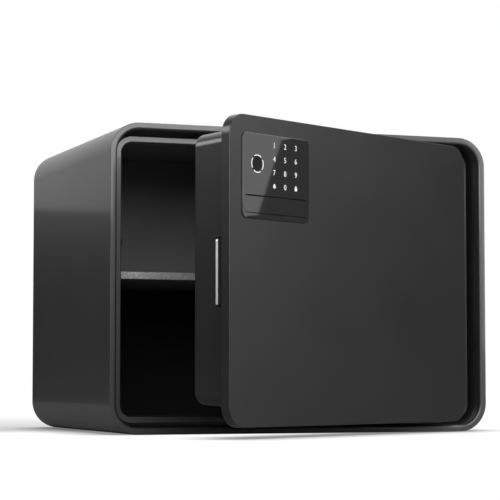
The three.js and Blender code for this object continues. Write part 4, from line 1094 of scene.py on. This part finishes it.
# Fingerprint pad and its ring of light
ringLook = {
    "arcWidth": 0.00075,
    "arcInset": 0.0001,  # of the arcs from the ring's outside
    "arcHalfAngle": 35.0,
    "arcTurn": -4.0,
    "arcProud": 0.00005,
    "arcDepth": 0.0006,
    "arcSteps": 20,
    "capSteps": 8,
    "seatDrops": (0.0002, 0.0001),  # of the ring's inner and outer edge behind its face
    "padGap": 0.0002,
    "padSteps": 10,
    "padDish": 0.0005,
    "padDishShare": 0.93,  # of the pad's radius
    "padEase": 0.0003,
    "steps": 96,
}


# A band of light between two angles, with round ends.
def arcMesh(centre, radius, middle, fromY, toY, look):
    half = look["arcWidth"] / 2
    reach = look["arcHalfAngle"] - math.degrees(half / radius)
    first, last = middle - reach, middle + reach

    def bend(size, start, end):
        return curveOf(*centre, size, size, start, end, look["arcSteps"])

    def cap(angle, start):
        at = curveOf(*centre, radius, radius, angle, angle, 1)[0]
        return curveOf(*at, half, half, start, start + 180, look["capSteps"])[1:-1]

    points = bend(radius + half, first, last) + cap(last, last)
    points += bend(radius - half, last, first) + cap(first, first + 180)
    return loft([atDepth(points, y) for y in (fromY, toY)])


def makeRing(look):
    low, high = boxOf("sensor_light_ring", shut=True)
    centre, outer = roundOf("sensor_light_ring")
    inner = roundOf("fingerprint_sensor")[1] + look["padGap"]
    faceY = low.y + look["arcProud"]
    innerDrop, outerDrop = look["seatDrops"]
    profile = [(inner, faceY + innerDrop), (outer, faceY + outerDrop), (outer, high.y), (inner, high.y)]
    seat = pieceOf("pad_surround", turnedMesh(profile + profile[:1], centre, look["steps"]))
    settle(seat, "door", panelGloss, ["sensor_light_ring"])
    radius = outer - look["arcInset"] - look["arcWidth"] / 2
    middles = [90 * quarter + look["arcTurn"] for quarter in range(4)]
    rearY = faceY + look["arcDepth"]
    arcs = joinedMesh([arcMesh(centre, radius, middle, low.y, rearY, look) for middle in middles])
    settle(pieceOf("light_arcs", arcs), "door", arcGlow)


def makePad(look):
    low, high = boxOf("fingerprint_sensor", shut=True)
    centre, radius = roundOf("fingerprint_sensor")
    ease, dish = look["padEase"], radius * look["padDishShare"]
    shares = [step / look["padSteps"] for step in range(look["padSteps"] + 1)]
    profile = [(dish * share, low.y + look["padDish"] * (1 - share ** 2)) for share in shares]
    profile += curveOf(radius - ease, low.y + ease, ease, ease, -90, 0, steps=6)[1:]
    profile += [(radius, high.y), (0, high.y)]
    pad = pieceOf("touch_pad", turnedMesh(profile, centre, look["steps"]))
    settle(pad, "door", padBlack, ["fingerprint_sensor"])


makeRing(ringLook)
makePad(ringLook)
print("fingerprint pad made")

# Digits, with a small bell and a small padlock beside the nought
digitLook = {
    "firstColumn": 0.0431,
    "columnPitch": 0.01515,
    "firstRow": 0.0091,
    "rowPitch": 0.0124,
    "height": 0.0048,
    "weight": -0.006,
    "extrude": 0.02,  # of a letter of size 1
    "proud": 0.00004,
    "signDepth": 0.0004,
}


def digitMesh(character, look):
    curve = bpy.data.curves.new("digit", "FONT")
    curve.body = character
    curve.size = 1
    curve.offset = look["weight"]
    curve.extrude = look["extrude"]
    holder = bpy.data.objects.new("digit", curve)
    bpy.context.scene.collection.objects.link(holder)
    graph = bpy.context.evaluated_depsgraph_get()
    mesh = bpy.data.meshes.new_from_object(holder.evaluated_get(graph))
    bpy.data.objects.remove(holder)
    bpy.data.curves.remove(curve)
    bm = bmesh.new()
    bm.from_mesh(mesh)
    bpy.data.meshes.remove(mesh)
    xs = [vertex.co.x for vertex in bm.verts]
    ys = [vertex.co.y for vertex in bm.verts]
    centre = Vector(((min(xs) + max(xs)) / 2, (min(ys) + max(ys)) / 2, 0))
    bmesh.ops.translate(bm, vec=-centre, verts=bm.verts)
    scale = look["height"] / (max(ys) - min(ys))
    bmesh.ops.scale(bm, vec=(scale, scale, scale), verts=bm.verts)
    return bm


# Flat signs in units of their height, each a list of closed outlines that don't overlap.
def signMesh(outlines, look):
    height, depths = look["height"], (-look["signDepth"] / 2, look["signDepth"] / 2)

    def prism(outline):
        return loft([[(x * height, y * height, z) for x, y in outline] for z in depths])

    return joinedMesh([prism(outline) for outline in outlines])


def bellOutlines():
    bell = curveOf(0, 0.06, 0.27, 0.36, 0, 180) + [(-0.40, -0.28), (0.40, -0.28)]
    clapper = curveOf(0, -0.33, 0.13, 0.14, 180, 360)
    return [bell, clapper]


def padlockOutlines():
    shackle = [(0.27, 0.11)] + curveOf(0, 0.16, 0.27, 0.32, 0, 180) + [(-0.27, 0.11), (-0.13, 0.11)]
    shackle += curveOf(0, 0.16, 0.13, 0.18, 180, 0) + [(0.13, 0.11)]
    body = [(-0.33, 0.10), (-0.33, -0.42), (-0.27, -0.48), (0.27, -0.48), (0.33, -0.42), (0.33, 0.10)]
    return [shackle, body]


def makeDigits(look):
    low, high = boxOf("keypad_fascia", shut=True)
    signs = {"bell": bellOutlines(), "padlock": padlockOutlines()}
    shapes = []
    for place, character in enumerate([*"123456789", "bell", "0", "padlock"]):
        row, column = divmod(place, 3)
        x = low.x + look["firstColumn"] + column * look["columnPitch"]
        z = high.z - look["firstRow"] - row * look["rowPitch"]
        bm = signMesh(signs[character], look) if character in signs else digitMesh(character, look)
        turn = Matrix.Translation((x, low.y - look["proud"], z)) @ Matrix.Rotation(math.pi / 2, 4, "X")
        bmesh.ops.transform(bm, matrix=turn, verts=bm.verts)
        shapes.append(bm)
    settle(pieceOf("panel_digits", joinedMesh(shapes)), "door", digitGlow)


makeDigits(digitLook)
print("digits made")

# Screws and ribs, repeated by Geometry Nodes on points
screwLook = {
    "headRadius": 0.0032,
    "headHeight": 0.0013,
    "rimShare": 0.45,  # of the head's height
    "crownShare": 0.72,  # of its radius
    "sides": 28,
    "recessWidth": 0.0008,
    "recessDepth": 0.0009,
    "recessShare": 1.15,  # the length of the cross, of the head's radius
    "sunk": 0.0001,
    "inset": 0.012,
    "rows": (0.26, 0.66),  # shares of the box's height, clear of the sliding battery cover
    "seed": 3,
}
lidLook = {
    "cornerRadius": 0.003,
    "eases": (0.0002, 0.0005),  # front and rear edge
    "thickness": 0.0018,
    "ribCount": 5,
    "ribPitch": 0.004,
    "ribWidth": 0.0016,
    "ribHeight": 0.0006,
    "ribLength": 0.026,
    "ribInset": 0.008,
}


def newGrowth(name, sizes, others):
    floats = {size: "Float" for size in sizes}
    inputs = {"Points": "Geometry", **floats, **others, "Finish": "Material"}
    return newTree("GeometryNodeTree", name, inputs, {"Result": "Geometry"})


def closeTree(tree, given, leave, instances):
    real = addNode(tree, "GeometryNodeRealizeInstances", Geometry=instances).outputs[0]
    painted = addNode(tree, "GeometryNodeSetMaterial", Geometry=real, Material=given["Finish"])
    feed(leave, Result=painted.outputs[0])


def vectorOf(tree, x=0.0, y=0.0, z=0.0):
    return addNode(tree, "ShaderNodeCombineXYZ", X=x, Y=y, Z=z).outputs[0]


def onPoints(tree, points, shape, **values):
    node = addNode(tree, "GeometryNodeInstanceOnPoints", Points=points, Instance=shape, **values)
    return node.outputs[0]


# Two shapes in one, each at its own place.
def joinedNodes(tree, shapes):
    join = addNode(tree, "GeometryNodeJoinGeometry")
    for shape, place in shapes:
        moved = addNode(tree, "GeometryNodeTransform", Geometry=shape.outputs[0], Translation=place)
        feed(join, Geometry=moved.outputs[0])
    return join.outputs[0]


# A pan head with a cross recess on every point, each turned by its own angle.
def makeScrewTree(look):
    sizes = ("Head Radius", "Head Height", "Recess Width", "Recess Depth")
    tree, given, leave = newGrowth("screwsOnPoints", sizes, {"Facing": "Vector", "Seed": "Int"})
    radius, height, width = given["Head Radius"], given["Head Height"], given["Recess Width"]
    rim = product(tree, height, look["rimShare"])
    cone = {"Vertices": look["sides"], "Radius Bottom": radius}
    skirt = addNode(tree, "GeometryNodeMeshCone", **cone, Radius_Top=radius, Depth=rim)
    topRadius, crown = product(tree, radius, look["crownShare"]), mathNode(tree, "SUBTRACT", height, rim)
    dome = addNode(tree, "GeometryNodeMeshCone", **cone, Radius_Top=topRadius, Depth=crown)
    head = joinedNodes(tree, [(skirt, (0, 0, 0)), (dome, vectorOf(tree, z=rim))])
    welded = addNode(tree, "GeometryNodeMergeByDistance", Geometry=head, Distance=0.00001)
    arm, depth = product(tree, radius, look["recessShare"]), product(tree, given["Recess Depth"], 2.0)
    bars = [vectorOf(tree, arm, width, depth), vectorOf(tree, width, arm, depth)]
    top = vectorOf(tree, z=height)
    cross = joinedNodes(tree, [(addNode(tree, "GeometryNodeMeshCube", Size=bar), top) for bar in bars])
    settings = {"operation": "DIFFERENCE", "solver": "EXACT"}
    crossed = addNode(tree, "GeometryNodeMeshBoolean", settings, i0=welded.outputs[0], i1=cross)
    feed(crossed, Self_Intersection=True)
    placed = onPoints(tree, given["Points"], crossed.outputs[0], Rotation=given["Facing"])
    turn = addNode(tree, "FunctionNodeRandomValue", {"data_type": "FLOAT"}, i3=math.pi, Seed=given["Seed"])
    about = vectorOf(tree, z=turn.outputs[1])
    turned = addNode(tree, "GeometryNodeRotateInstances", Instances=placed, Rotation=about)
    closeTree(tree, given, leave, turned.outputs[0])
    return tree


# A row of low rounded bars that starts at each point.
def makeRibTree():
    sizes = ("Pitch", "Width", "Height", "Length")
    tree, given, leave = newGrowth("ribsInRow", sizes, {"Count": "Int"})
    step = vectorOf(tree, x=given["Pitch"])
    line = addNode(tree, "GeometryNodeMeshLine", {"mode": "OFFSET"}, Count=given["Count"], Offset=step)
    ball = addNode(tree, "GeometryNodeMeshUVSphere", Segments=20, Rings=14, Radius=1.0)
    halfWidth, halfLength = (product(tree, given[key], 0.5) for key in ("Width", "Length"))
    size = vectorOf(tree, halfWidth, given["Height"], halfLength)
    row = onPoints(tree, line.outputs[0], ball.outputs[0], Scale=size)
    whole = addNode(tree, "GeometryNodeRealizeInstances", Geometry=row).outputs[0]
    closeTree(tree, given, leave, onPoints(tree, given["Points"], whole))
    return tree


def growOnPoints(name, points, tree, values):
    bm = bmesh.new()
    for point in points:
        bm.verts.new(point)
    piece = pieceOf(name, bm)
    modifier = piece.modifiers.new("grown", "NODES")
    modifier.node_group = tree
    for item in tree.interface.items_tree:
        if item.in_out == "INPUT" and item.name in values:
            modifier[item.identifier] = values[item.name]
    applyModifiers(piece)
    return piece


def makeBoxScrews(look):
    low, high = boxOf("door_box", shut=True)
    corner = look["inset"] + doorLook["boxDraft"]
    rows = [low.z + corner, high.z - corner] + [low.z + (high.z - low.z) * share for share in look["rows"]]
    points = [(x, high.y - look["sunk"], z) for x in (low.x + corner, high.x - corner) for z in rows]
    values = {
        "Head Radius": look["headRadius"],
        "Head Height": look["headHeight"],
        "Recess Width": look["recessWidth"],
        "Recess Depth": look["recessDepth"],
        "Facing": (-math.pi / 2, 0, 0),
        "Seed": look["seed"],
        "Finish": zincPlate,
    }
    screws = growOnPoints("box_screws", points, makeScrewTree(look), values)
    settle(screws, "door", zincPlate)


def makeLid(look):
    low, high = boxOf("battery_lid", shut=True)
    outline = outlineOf(low, high, look["cornerRadius"])
    rearY = low.y + look["thickness"]
    lid = pieceOf("battery_cover", loft(slabRings(outline, low.y, rearY, *look["eases"], smallSteps)))
    settle(lid, "battery_door", mouldedBlack, ["battery_lid"])
    values = {key: look["rib" + key] for key in ("Count", "Pitch", "Width", "Height", "Length")}
    start = (low.x + look["ribInset"] + look["ribWidth"] / 2, rearY, (low.z + high.z) / 2)
    ribs = growOnPoints("cover_ribs", [start], makeRibTree(), {**values, "Finish": mouldedBlack})
    settle(ribs, "battery_door", mouldedBlack)


makeBoxScrews(screwLook)
makeLid(lidLook)
print("screws and battery cover made")

# CAD nodes that stay, with their finishes
anchorPlugs = [f"anchor_plug_{wall}_{side}" for wall in ("floor", "rear") for side in sides]
hingeLeaves = [f"hinge_{part}_leaf_{place}" for part in ("body", "door") for place in ("upper", "lower")]
batteryCells = [f"battery_cell_{number}" for number in range(1, 5)]
keptFinishes = [
    (innerPaintLit, ["shelf_rail_left", "shelf_rail_right"]),
    # the shelf board takes the painted light of a lighter grey
    (shelfPaintLit, ["shelf_board"]),
    (plugRubber, anchorPlugs),
    (framePaint, hingeLeaves),
    (boltSteel, ["hinge_pin_upper", "hinge_pin_lower", "lock_cylinder", "drive_motor"]),
    (mouldedBlack, ["keypad_housing", "bolt_guide_upper", "bolt_guide_lower"]),
    (mouldedBlack, ["battery_tray", "reset_switch"]),
    (zincPlate, ["power_socket", "release_cam", "bolt_carriage", "gearbox_housing", "hinge_side_bar"]),
    (brassMetal, ["key_plug", "drive_pinion"]),
    (boardGreen, ["control_board"]),
    (cellWrap, batteryCells),
    (buttonRed, ["reset_button"]),
]
for keptFinish, nodeNames in keptFinishes:
    for nodeName in nodeNames:
        cadNodes[nodeName].data.materials.clear()
        cadNodes[nodeName].data.materials.append(keptFinish)
